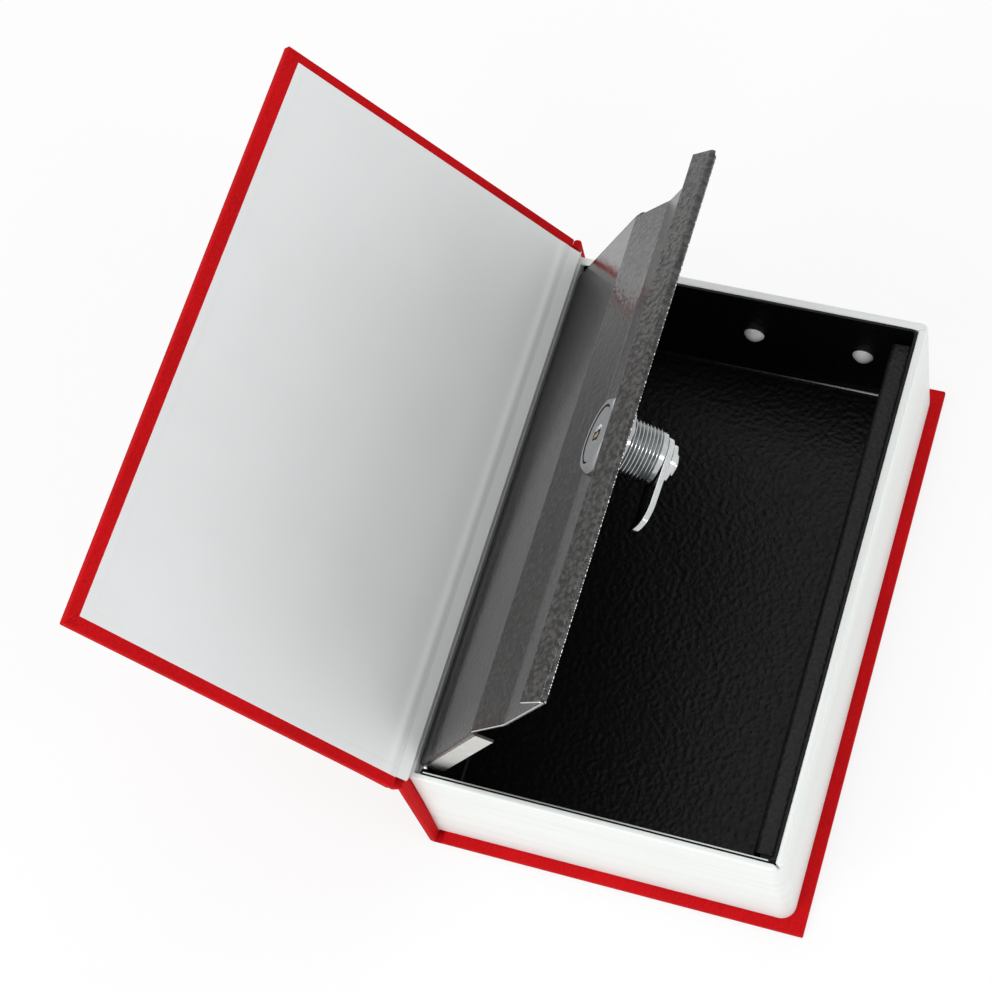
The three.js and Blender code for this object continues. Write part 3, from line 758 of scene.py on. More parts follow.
@dataclass(frozen=True)
class Turned:
    """A hinged body's closed frame and how it stands at rest.

    The closed frame has its origin on the hinge, X towards the fore-edge and Z up.
    A point turns about the hinge from X towards Z by the angle.
    """

    x: float
    y: float
    z: float
    angle: float

    def place(self, points: np.ndarray) -> np.ndarray:
        """Points of the closed frame in the shared frame.

        Args:
            points: points by 3, in millimetres.

        Returns:
            The placed points.
        """
        c, s = math.cos(math.radians(self.angle)), math.sin(math.radians(self.angle))
        x, y, z = points[:, 0], points[:, 1], points[:, 2]
        return np.stack([self.x + x * c - z * s, self.y + y, self.z + x * s + z * c], 1)


FLAT = Turned(SPINE_FACE_X, 0.0, 0.0, 0.0)
COVER_OPEN = Turned(SPINE_FACE_X + 1.6, -2.1, 56.4, 132.3)
LID_OPEN = Turned(SPINE_FACE_X + 6.2, 0.0, 50.3, 62.7)


def linked(name: str, data: bpy.types.ID) -> bpy.types.Object:
    """A new object of some data, in the scene.

    Args:
        name: its name.
        data: its mesh, lamp or camera.

    Returns:
        The object.
    """
    made = bpy.data.objects.new(name, data)
    bpy.context.scene.collection.objects.link(made)
    return made


class Maker:
    """Puts shells into the scene as pieces and reports them."""

    def piece(self, name: str, shell: Shell, finish: Finish, slot: Slot, turned: Turned = FLAT,
              sharp: float = 40.0, bevel: float = 0.0, cut: Finish | None = None) -> bpy.types.Object:
        """Makes a piece from a shell.

        Args:
            name: the piece's name.
            shell: its mesh in the closed frame, in millimetres.
            finish: its finish.
            slot: the record's material slot; not used.
            turned: how the closed frame stands.
            sharp: edges over this angle stay sharp, in degrees.
            bevel: width of the eased edges in millimetres, or 0.
            cut: the finish of the shell's cut faces, which partly paints highlight and reflection.

        Returns:
            The object.
        """
        mesh = bpy.data.meshes.new(name)
        mesh.from_pydata((shell.points * MM).tolist(), [], shell.faces)
        if cut:
            number = np.zeros(len(shell.faces), np.int32)
            number[shell.cut] = 1
            mesh.polygons.foreach_set("material_index", number)
        work = bmesh.new()
        work.from_mesh(mesh)
        bmesh.ops.remove_doubles(work, verts=work.verts, dist=1e-7)
        bmesh.ops.recalc_face_normals(work, faces=work.faces)
        work.to_mesh(mesh)
        work.free()
        self.lay_chart(mesh)
        flat = np.empty(len(mesh.vertices) * 3)
        mesh.vertices.foreach_get("co", flat)
        placed = turned.place(flat.reshape(-1, 3) / MM) * MM
        mesh.vertices.foreach_set("co", placed.ravel())
        mesh.update()
        mesh.shade_smooth()
        mesh.set_sharp_from_angle(angle=math.radians(sharp))
        mesh.materials.append(finish.material)
        if cut:
            mesh.materials.append(cut.material)
        made = linked(name, mesh)
        if bevel > 0:
            ease = made.modifiers.new("eased_edges", "BEVEL")
            ease.width = bevel * MM
            ease.segments = 2
            ease.limit_method = "ANGLE"
            ease.angle_limit = math.radians(sharp)
            ease.harden_normals = True
        log.info("%s: %d points, %d faces", name, len(mesh.vertices), len(mesh.polygons))
        return made

    def mount(self, body: Body, node: str | None, name: str, shell: Shell, finish: Finish, slot: Slot,
              **looks: object) -> None:
        """Makes a piece that rides on a body.

        Args:
            body: the body that carries it.
            node: the CAD node that it replaces, or None.
            name: the piece's name.
            shell: its mesh.
            finish: its finish.
            slot: the record's material slot.
            looks: the other arguments of piece.
        """
        made = self.piece(name, shell, finish, slot, **looks)
        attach(made, body.value)
        if node:
            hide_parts(node)

    @staticmethod
    def lay_chart(mesh: bpy.types.Mesh) -> None:
        """Gives each face a chart in millimetres: the two coordinates across its main normal axis.

        Args:
            mesh: the mesh, in its closed frame.
        """
        corners = np.empty(len(mesh.loops), np.int32)
        mesh.loops.foreach_get("vertex_index", corners)
        points = np.empty(len(mesh.vertices) * 3)
        mesh.vertices.foreach_get("co", points)
        normals = np.empty(len(mesh.polygons) * 3)
        mesh.polygons.foreach_get("normal", normals)
        totals = np.empty(len(mesh.polygons), np.int32)
        mesh.polygons.foreach_get("loop_total", totals)
        main = np.repeat(np.abs(normals.reshape(-1, 3)).argmax(1), totals)
        spots = points.reshape(-1, 3)[corners] / MM
        first = np.where(main == 0, spots[:, 1], spots[:, 0])
        second = np.where(main == 2, spots[:, 1], spots[:, 2])
        layer = mesh.uv_layers.new(name="chart")
        layer.data.foreach_set("uv", np.stack([first, second], 1).ravel())

    @staticmethod
    def paint_nodes(finish: Finish, *nodes: str) -> None:
        """Gives CAD nodes that stay in view a finish.

        Args:
            finish: the finish.
            nodes: the names of the nodes.
        """
        for name in nodes:
            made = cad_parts[name]
            made.data.materials.clear()
            made.data.materials.append(finish.material)


# Sub-assemblies


@dataclass
class BookCase:
    """The cloth-covered back cover and spine, with the strips that join the front cover."""

    width: float = 115.4
    half_length: float = 90.0
    thick: float = 2.3
    spine_top: float = 56.0
    joint_end: float = 4.3
    joint_floor: float = 0.6
    joint_overlap: float = 1.5
    back_radii: tuple = (0.5, 0.55, 0.55, 0.7)
    spine_radii: tuple = (1.0, 0.8, 0.8, 1.0)
    groove_radii: tuple = (0.15,) * 4
    groove_start: float = 1.0
    groove_lift: float = 0.02
    # How far the ends of back, spine and groove are rounded
    end_rounds: tuple = (0.45, 0.75, 0.2)
    cloth: float = 0.36
    paper: float = 0.24
    # Corners of each strip from the spine's top, where it meets the closed cover, and the radii of its bends
    cloth_corners: tuple = ((0.25, -0.7), (0.25, 0.1), (0.95, 1.1))
    cloth_meets: tuple = (5.0, 0.0, -0.2)
    cloth_bends: tuple = (0.3, 0.8)
    paper_corners: tuple = ((2.44, -7.6), (2.46, -2.0), (3.9, 1.85))
    paper_meets: tuple = (3.6, 0.0, -2.66)
    paper_bends: tuple = (2.0, 0.6)
    # Y of a strip's low end and of its high end, each at the case and at the cover
    cloth_ends: tuple = ((-89.7, -92.0), (89.6, 86.2))
    paper_ends: tuple = ((-85.6, -88.8), (86.6, 84.3))
    bend_drop: float = 0.5
    strip_rows: int = 90
    roll: float = 2.2
    roll_length: float = 2.4
    roll_end: float = 0.9
    high_fall: float = 0.8
    liner_half: float = 86.6
    liner_draft: float = 1.6
    draft_height: float = 50.7
    liner_low: float = 2.4
    liner_high: float = 48.2

    def cloth_bar(self, corners: list, radii: tuple, round_off: float) -> Shell:
        """A bar with rounded edges, as long as the book.

        Args:
            corners: the corners of its outline in X and Z.
            radii: radii of its long edges.
            round_off: how its ends are rounded.

        Returns:
            The shell.
        """
        outline = bent_path(corners, radii, 6, closed=True)
        return along_y(outline, -self.half_length, self.half_length, round_off)

    def cloth_shell(self) -> Shell:
        """Back cover, spine and the thin groove between them, three rounded bars.

        Returns:
            The shell.
        """
        t, top, low, lift = self.thick, self.spine_top, self.joint_floor, self.groove_lift
        start, near, far = self.groove_start, self.joint_end, self.width
        back = [[near - self.joint_overlap, 0], [far, 0], [far, t], [near + 0.2, t]]
        spine = [[0, 0], [t, 0], [t, top], [0, top]]
        groove = [[start, lift], [near, lift], [near, low], [start, low]]
        radii = (self.back_radii, self.spine_radii, self.groove_radii)
        return joined(*map(self.cloth_bar, (back, spine, groove), radii, self.end_rounds))

    def strip(self, path: np.ndarray, thick: float, ends: tuple, roll: float = 0.0) -> Shell:
        """A thin strip that follows a path in X and Z and may thicken inward to a roll at both ends.

        The inner face moves off by roll times exp(-(distance to the end / roll_length) squared) times a
        sine that rises over the first third of the path, so the roll starts from nothing at the case and is
        as thick as the cover where it meets it. Over the last part, roll_end long, it closes in a quarter
        circle. The high end of a rolled strip runs in as the share of the path to the power high_fall, a
        little faster at first, so that it stays below the cover's edge.

        Args:
            path: its middle line, from the case to the cover.
            thick: its thickness.
            ends: its low Y at the case and at the cover, and its high Y at both.
            roll: how much thicker the ends are.

        Returns:
            The shell.
        """
        side = path_normals(path)
        run = np.linspace(0, 1, len(path))
        level = (1 - np.cos(np.linspace(0, np.pi, self.strip_rows)))[:, None] / 2
        share = np.concatenate([run, run[::-1]])
        fall = share ** self.high_fall if roll else share
        low, high = ends
        first, last = low[0] + (low[1] - low[0]) * share, high[0] + (high[1] - high[0]) * fall
        y = first + (last - first) * level
        away = np.minimum(level, 1 - level) * (last - first).mean()
        closing = np.sqrt(1 - (1 - np.clip(away / self.roll_end, 0, 1)) ** 2)
        rise = np.sin(np.pi / 2 * np.clip(3 * run, 0, 1))
        more = roll * np.exp(-(away / self.roll_length) ** 2) * closing * rise
        outer = np.broadcast_to(path + side * thick / 2, (self.strip_rows, *path.shape))
        inner = path - side * (thick / 2 + more[..., None])
        flat = np.concatenate([outer, inner[:, ::-1]], 1)
        return skin(np.stack([flat[..., 0], y, flat[..., 1]], -1))

    def liner_shell(self) -> Shell:
        """A thin upright sheet against the inside of the spine.

        Returns:
            The shell.
        """
        near, far, low, high = self.thick + 0.01, self.thick + self.paper, self.liner_low, self.liner_high
        corners = np.array([[near, low], [far, low], [far, high], [near, high]])
        half = self.liner_half - self.liner_draft * (corners[:, 1] - low) / self.draft_height
        return along_y(corners, -half, half)

    def joint_path(self, corners: tuple, meets: tuple, bends: tuple, steps: int) -> np.ndarray:
        """A strip's middle line, from the top of the spine to a point of the open cover.

        Args:
            corners: its corners, X from the spine's outer face and Z from the spine's top.
            meets: its last point, in the cover's closed frame.
            bends: radii of its corners between the ends.
            steps: steps of each bend.

        Returns:
            The path's points.
        """
        x, _, z = COVER_OPEN.place(np.array([meets]))[0]
        points = [[a, self.spine_top + b] for a, b in corners] + [[x - SPINE_FACE_X, z]]
        return bent_path(points, bends, steps)

    def build(self, maker: Maker) -> None:
        """Makes the case's pieces.

        Args:
            maker: puts the pieces into the scene.
        """
        maker.mount(Body.CASE, "case_cloth", "case_cloth_wrap", self.cloth_shell(), RED_CLOTH, Slot.CLOTH)
        path = self.joint_path(self.cloth_corners, self.cloth_meets, self.cloth_bends, 6)
        shell = self.strip(path, self.cloth, self.cloth_ends, self.roll)
        self.join(maker.piece("joint_cloth_strip", shell, RED_CLOTH, Slot.CLOTH), "joint_cloth")
        path = self.joint_path(self.paper_corners, self.paper_meets, self.paper_bends, 8)
        shell = self.strip(path, self.paper, self.paper_ends)
        self.join(maker.piece("joint_paper_strip", shell, ENDPAPER, Slot.ENDPAPER), "joint_paper")
        maker.paint_nodes(BOARD, "back_board", "spine_board", "front_board")
        liner = self.liner_shell()
        maker.mount(Body.CASE, "spine_liner", "spine_liner_sheet", liner, ENDPAPER, Slot.ENDPAPER)

    def join(self, strip: bpy.types.Object, node: str) -> None:
        """Hides the CAD node that a strip replaces and bakes the strip's placement into its mesh.

        Args:
            strip: the piece.
            node: the CAD node that it replaces.
        """
        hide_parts(node)
        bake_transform(strip)


@dataclass
class FrontCover:
    """The open front cover: a cloth-wrapped board with its endpaper, in its closed frame about the joint."""

    near: float = 3.1
    far: float = 113.4
    swell: float = 0.95
    swell_length: float = 11.0
    head_skew: float = 0.6
    half: float = 90.0
    depth: float = 2.66
    edge: float = 0.5
    paper_near: float = 3.65
    paper_far: float = 109.4
    paper_half: float = 86.6
    paper_skew: float = 0.006
    paper_rise: float = 0.1
    turn_in: float = 3.2
    turn_in_rise: float = 0.05
    turn_in_width: float = 0.9
    wave_place: float = 6.0
    wave: tuple = (0.22, 1.5)
    sag: tuple = (0.03, 4.0)
    pleats: tuple = ((0.25, 4.6), (0.62, 3.6), (1.02, 4.2))
    pleat_radius: float = 0.16

    def cloth_shell(self) -> Shell:
        """A slab with rounded edges; the endpaper lies on its inner side.

        At the tail the outer face swells by swell times exp(-(distance along the cover / swell_length)
        squared); the head edge draws in towards the joint by head_skew.

        Returns:
            The shell.
        """
        corners = [[self.near, -self.depth], [self.far, -self.depth], [self.far, 0], [self.near, 0]]
        outline = bent_path(corners, [self.edge, self.edge, self.edge, 0.6], 6, closed=True)
        outline = np.insert(outline, 21, [[x, 0.0] for x in (40.0, 24.0, 16.0, 10.0, 6.0)], axis=0)
        shell = along_y(outline, -self.half, self.half, self.edge)
        a, y, z = shell.points.T
        outer = np.clip(1 + z / self.depth, 0, 1)
        shell.points[:, 2] += np.where(y < 0, self.swell * outer * np.exp(-(a / self.swell_length) ** 2), 0)
        shell.points[:, 1] -= np.where(y > 0, self.head_skew * (1 - a / self.far), 0)
        return shell

    def paper_shell(self) -> Shell:
        """A thin sheet on a grid of the cover: its face follows what lies under it.

        The face stands off by the turned-in cloth along three edges, a smooth step of the distance to
        the edge, and by a long low wave beside the joint, exp(-((distance from it) / width) squared).
        The wave and the sag, which runs along the joint as a sine, are a height and a width each.

        Returns:
            The shell.
        """
        a = np.concatenate([np.linspace(self.paper_near, 10, 26), np.linspace(11, 104, 24),
                            np.linspace(104.5, self.paper_far, 14)])
        half = self.paper_half
        y = np.concatenate([np.linspace(-half, 5 - half, 16), np.linspace(6.5 - half, half - 6.5, 40),
                            np.linspace(half - 5, half, 16)])
        a, y = np.meshgrid(a, y, indexing="ij")
        edge = np.minimum(self.paper_far - a, half - np.abs(y))
        step = np.clip((self.turn_in - edge) / self.turn_in_width, 0, 1)
        cloth = self.turn_in_rise * step * step * (3 - 2 * step)
        wave = self.wave[0] * np.exp(-((a - self.wave_place) / self.wave[1]) ** 2)
        sag = self.sag[0] * np.sin(y / 17.0) * np.exp(-((a - self.wave_place) / self.sag[1]) ** 2)
        z = -self.depth - self.paper_rise - cloth - wave - sag
        turned = y + self.paper_skew * (a - self.paper_far / 2)
        along = a - self.paper_skew * y * a / self.paper_far
        return slab(np.stack([along, turned, z], -1), -self.depth + 0.06)

    def pleat_shell(self, side: int) -> Shell:
        """Three low ridges of cloth that fan out from a far corner of the cover on its inner side.

        Each ridge is a half-sunk tube along a straight line, whose angle and length pleats gives. Its radius
        is a hair more than pleat_radius times the 0.6th power of the sine along the line, so that it rises
        from the cloth and sinks back.

        Args:
            side: -1 at the tail, 1 at the head.

        Returns:
            The shell.
        """
        ridges = []
        share = np.linspace(0, 1, 16)
        turn = full_turn(10)
        for angle, length in self.pleats:
            along = np.array([-math.cos(angle), -side * math.sin(angle)])
            across = np.array([-along[1], along[0]])
            radius = (0.02 + self.pleat_radius * np.sin(np.pi * share) ** 0.6)[:, None]
            corner = np.array([self.far - 0.5, side * (self.half - 0.5)])
            middle = corner + along * (0.2 + length * share[:, None])
            flat = middle[:, None, :] + across * (radius * np.cos(turn))[..., None]
            z = -self.depth - radius * np.sin(turn) * 0.9
            ridges.append(skin(np.concatenate([flat, z[..., None]], -1)))
        return joined(*ridges)

    def build(self, maker: Maker) -> None:
        """Makes the cover's pieces.

        Args:
            maker: puts the pieces into the scene.
        """
        cloth = joined(self.cloth_shell(), self.pleat_shell(-1), self.pleat_shell(1))
        paper = self.paper_shell()
        maker.mount(Body.COVER, "front_cloth", "front_cloth_wrap", cloth, RED_CLOTH, Slot.CLOTH,
                    turned=COVER_OPEN)
        maker.mount(Body.COVER, "front_endpaper", "front_endpaper_sheet", paper, ENDPAPER, Slot.ENDPAPER,
                    turned=COVER_OPEN)


@dataclass
class PageBlock:
    """The moulded surround that looks like pages, with the rivets that hold the steel box in it."""

    spine: float = 2.6
    fore: float = 111.6
    half: float = 86.5
    draft: float = 0.5
    bottom: float = 2.3
    top: float = 53.0
    corner: float = 4.4
    head_corner: float = 2.2
    pocket_spine: float = 3.9
    pocket_fore: float = 108.5
    pocket_half: float = 82.8
    tail_shift: float = 1.5
    head_shift: float = 0.5
    pocket_floor: float = 5.5
    spine_top: float = 47.5
    rim_edge: float = 0.7
    ease: float = 0.35
    slit_widths: tuple = (0.4, 0.1)
    slit_depth: float = 2.4
    slit_length: float = 1.8
    slit_slope: float = 0.62
    rivet_pitch: float = 34.2
    rivet_z: float = 30.9
    rivet_radius: float = 3.2
    rivet_rise: float = 2.1
    rivet_rim: float = 0.4
    wall_half: float = 82.4
    tray_middle: float = 57.2

    def loop(self, inset: float, z: float) -> np.ndarray:
        """An outer ring at a height, drawn in by the draft and by an inset.

        Args:
            inset: how far the ring is drawn in.
            z: its height.

        Returns:
            The ring.
        """
        d = self.draft * (z - self.bottom) / (self.top - self.bottom) + inset
        tail, head = max(self.corner - inset, 0.5), max(self.head_corner - inset, 0.5)
        fore, half = self.fore - d, self.half - d
        corners = [[self.spine, -half], [fore, -half], [fore, half], [self.spine, half]]
        return at_height(bent_path(corners, [self.ease, tail, head, self.ease], closed=True), z)

    @property
    def pocket_ends(self) -> tuple:
        """Y of the pocket's tail end and of its head end."""
        return -self.pocket_half - self.tail_shift, self.pocket_half + self.head_shift

    def pocket(self, grow: float, z: float) -> np.ndarray:
        """An inner ring at a height, lower along the spine.

        Args:
            grow: how far the ring is let out.
            z: its height.

        Returns:
            The ring.
        """
        tail, head = self.pocket_ends[0] - grow, self.pocket_ends[1] + grow
        near, far = self.pocket_spine - grow, self.pocket_fore + grow
        corners = [[near, tail], [far, tail], [far, head], [near, head]]
        return at_height(bent_path(corners, [self.ease, 0.6, 0.6, self.ease], closed=True), z)

    def shell(self) -> Shell:
        """Rings up the outside, over the rounded rim, down the pocket and across its floor.

        Returns:
            The shell.
        """
        angle = np.linspace(0, np.pi / 2, 6)
        edge, lip = self.rim_edge, self.ease
        rings = [self.loop(self.ease, self.bottom), self.loop(0.0, self.bottom + self.ease)]
        rings += [self.loop(0.0, z) for z in np.linspace(self.bottom + 1, self.top - edge, 12)]
        rings += [self.loop(edge * (1 - math.cos(a)), self.top - edge * (1 - math.sin(a))) for a in angle[1:]]
        rings += [self.pocket(lip * (1 - math.sin(a)), self.top - lip * (1 - math.cos(a))) for a in angle]
        rings += [self.pocket(0.0, self.pocket_floor)]
        return skin(np.array(rings))

    def lower_spine(self, shell: Shell) -> Shell:
        """Brings the wall along the spine down to its own height between the end walls.

        Args:
            shell: the block's shell, which is changed.

        Returns:
            The same shell.
        """
        points = shell.points
        near = points[:, 0] < self.pocket_spine + 0.05
        tail, head = self.pocket_ends
        inner = (points[:, 1] > tail + 0.02) & (points[:, 1] < head - 0.02)
        high = points[:, 2] > self.spine_top
        points[:, 2] = np.where(near & inner & high, self.spine_top, points[:, 2])
        return shell

    def rivet_shell(self, place: float, side: int) -> Shell:
        """A shallow dome: height falls with the 2.4th power of the radius to a short upright rim.

        Args:
            place: X of its middle.
            side: -1 at the tail, 1 at the head.

        Returns:
            The shell.
        """
        share = np.linspace(0, 1, 14)[:, None]
        angle = full_turn(40)
        r = self.rivet_radius * np.sin(share * np.pi / 2)
        rise = self.rivet_rim + (self.rivet_rise - self.rivet_rim) * (1 - (r / self.rivet_radius) ** 2.4)
        x = place + r * np.cos(angle)
        z = self.rivet_z + r * np.sin(angle)
        y = side * (self.wall_half - rise + 0 * angle)
        return capped(np.stack([x, y, z], -1), 1, side * (self.wall_half + 0.3))

    def cut_slits(self, block: bpy.types.Object) -> None:
        """Cuts the mitre slits across the rim at the two fore corners, each with a pointed outer end.

        Args:
            block: the block's object.
        """
        for side, edge, wide in zip((-1, 1), self.pocket_ends, self.slit_widths):
            near = np.array([self.pocket_fore - 0.4, edge - side * 0.4])
            along = np.array([1.0, side * self.slit_slope]) / math.hypot(1.0, self.slit_slope)
            across = np.array([-along[1], along[0]]) * wide
            end = near + along * self.slit_length
            tip = end + along * wide * 0.8
            flat = np.array([near - across, end - across, tip, end + across, near + across])
            rings = np.array([at_height(flat, z) for z in (self.top - self.slit_depth, self.top + 1)])
            cutter = Maker().piece(f"slit_cutter_{side}", skin(rings), PAGES, Slot.BLOCK)
            cut = block.modifiers.new("slit", "BOOLEAN")
            cut.object, cut.solver = cutter, "EXACT"
            solved = block.evaluated_get(bpy.context.evaluated_depsgraph_get())
            finished = bpy.data.meshes.new_from_object(solved)
            block.modifiers.clear()
            block.data = finished
            bpy.data.objects.remove(cutter)

    def build(self, maker: Maker) -> None:
        """Makes the block and its rivets.

        Args:
            maker: puts the pieces into the scene.
        """
        block = maker.piece("page_block_surround", self.lower_spine(self.shell()), PAGES, Slot.BLOCK)
        self.cut_slits(block)
        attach(block, Body.CASE.value)
        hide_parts("page_block")
        for row, side in enumerate((-1, 1)):
            for i in range(3):
                shell = self.rivet_shell(self.tray_middle + (i - 1) * self.rivet_pitch, side)
                n = row * 3 + i + 1
                maker.mount(Body.CASE, f"block_rivet_{n}", f"rivet_cap_{n}", shell, RIVET, Slot.RIVET)


@dataclass
class SteelBox:
    """The folded steel box with its ledge and the case half of the hinge."""

    spine: float = 4.0
    fore: float = 108.4
    half: float = 82.7
    sheet: float = 0.8
    floor: float = 5.5
    rim: float = 53.2
    spine_top: float = 47.5
    bend: float = 1.2
    ledge_top: float = 46.7
    ledge_width: float = 6.6
    ledge_leg: float = 8.0
    lip_bottom: float = 35.3
    ledge_half: float = 80.7
    ledge_bend: float = 1.2
    tail_shift: float = 1.25
    tail_thinning: float = 0.34
    head_shift: float = 0.5
    fold_inset: float = 0.45
    fold_margins: tuple = (40.0, 10.0)
    fold_radii: tuple = (0.15, 0.8)
    pin_place: tuple = (5.5, 50.4)
    pin_radius: float = 0.85
    pin_rise: float = 0.5
    pin_end: float = -82.4
    pin_foot: float = -79.4

    def pan(self, inset: float, floor: float, radius: float, flip: bool) -> list:
        """Rings from the middle of the floor out, round the floor bend and up the walls.

        Args:
            inset: how far inside the outer size.
            floor: height of the flat floor.
            radius: radius of the floor bend and the upright corners.
            flip: rings run from the rim down instead.

        Returns:
            The rings.
        """
        angle = np.linspace(np.pi / 2, 0, 8)
        rings = []
        for a in angle:
            draw = inset + radius * (1 - math.cos(a))
            corner = max(radius - (draw - inset) * 0.5, 0.3)
            rings.append(rounded_loop(self.spine + draw, self.fore - draw, self.half - draw, corner,
                                      floor + radius * (1 - math.sin(a))))
        rings.append(rounded_loop(self.spine + inset, self.fore - inset, self.half - inset, radius, self.rim))
        return rings[::-1] if flip else rings

    def tray_shell(self) -> Shell:
        """Outer pan up to the rim and inner pan down from it, one closed skin.

        The wall along the spine is brought down to its own height, the end walls move out, and the tail
        wall's top edge gets thinner; that edge is the one cut face, in a finish that is partly bare steel and
        partly a painted highlight.

        Returns:
            The shell.
        """
        outer = self.pan(0.0, self.floor, self.bend + self.sheet, False)
        inner = self.pan(self.sheet, self.floor + self.sheet, self.bend, True)
        shell = skin(np.array(outer + inner))
        points = shell.points
        near = points[:, 0] < self.spine + self.sheet + self.bend - 0.02
        inside = np.abs(points[:, 1]) < self.half - self.sheet - 0.03
        high = points[:, 2] > self.spine_top
        points[:, 2] = np.where(near & inside & high, self.spine_top, points[:, 2])
        points[:, 1] += np.where(points[:, 1] < 0, -self.tail_shift, self.head_shift)
        size = len(outer[0])
        lip = points[len(outer) * size:(len(outer) + 1) * size]
        tail = lip[:, 1] < self.sheet + 0.05 - self.half - self.tail_shift
        lip[:, 1] -= np.where(tail, self.tail_thinning, 0)
        return Shell(points, shell.faces, [(len(outer) - 1) * size + size // 4 - 1])

    def fold_shell(self) -> Shell:
        """A bead of paint in the fold at the head of the floor: a tube along X, thicker to the fore-edge.

        Returns:
            The shell.
        """
        share = np.linspace(0, 1, 60)[:, None]
        turn = full_turn(16)
        thin, more = self.fold_radii
        radius = thin + more * share ** 1.6 * np.clip((1 - share) / 0.03, 0, 1) ** 0.5
        start, end = self.spine + self.fold_margins[0], self.fore - self.fold_margins[1]
        x = start + (end - start) * share + 0 * turn
        y = self.half + self.head_shift - self.sheet - self.fold_inset + radius * np.cos(turn)
        z = self.floor + self.sheet + self.fold_inset + radius * np.sin(turn)
        return skin(np.stack([x, y, z], -1))

    def pin_head_shell(self) -> Shell:
        """The flattened end of the hinge pin at the tail: a low dome about Y, brighter than the pin, partly
        bare steel and partly a painted highlight.

        Returns:
            The shell.
        """
        share = np.linspace(0, 1, 8)[:, None]
        turn = full_turn(20)
        r = self.pin_radius * np.sin(share * np.pi / 2)
        x, z = self.pin_place[0] + r * np.cos(turn), self.pin_place[1] + r * np.sin(turn)
        y = self.pin_end + self.pin_rise * (1 - np.cos(share * np.pi / 2)) + 0 * turn
        return capped(np.stack([x, y, z], -1), 1, self.pin_foot)

    def ledge_shell(self) -> Shell:
        """A channel open below: its line bent with small radii and given the sheet's thickness.

        Returns:
            The shell.
        """
        inner = self.fore - self.sheet
        wall, lip = inner - self.sheet / 2, inner - self.ledge_width + self.sheet / 2
        top = self.ledge_top - self.sheet / 2
        corners = [[wall, self.ledge_top - self.ledge_leg], [wall, top], [lip, top], [lip, self.lip_bottom]]
        path = bent_path(corners, [self.ledge_bend] * 2, 8)
        return along_y(strip_outline(path, self.sheet), -self.ledge_half, self.ledge_half)

    def build(self, maker: Maker) -> None:
        """Makes the tray and the ledge; the hinge leaf and pin keep their CAD form.

        Args:
            maker: puts the pieces into the scene.
        """
        tray, ledge = self.tray_shell(), self.ledge_shell()
        maker.mount(Body.CASE, "steel_tray", "steel_box_tray", tray, BLACK_PAINT, Slot.BOX,
                    sharp=50, bevel=0.08, cut=RIM_EDGE_AND_GLINT)
        maker.mount(Body.CASE, "strike_ledge", "strike_ledge_channel", ledge, LEDGE_PAINT, Slot.BOX,
                    sharp=50, bevel=0.1)
        maker.mount(Body.CASE, None, "floor_fold_bead", self.fold_shell(), FOLD_PAINT, Slot.BOX)
        maker.mount(Body.CASE, None, "hinge_pin_head", self.pin_head_shell(), BARE_STEEL_AND_GLINT, Slot.PIN)
        maker.paint_nodes(BLACK_PAINT, "tray_hinge_leaf", "lid_hinge_leaf")
        maker.paint_nodes(PIN_STEEL, "hinge_pin")


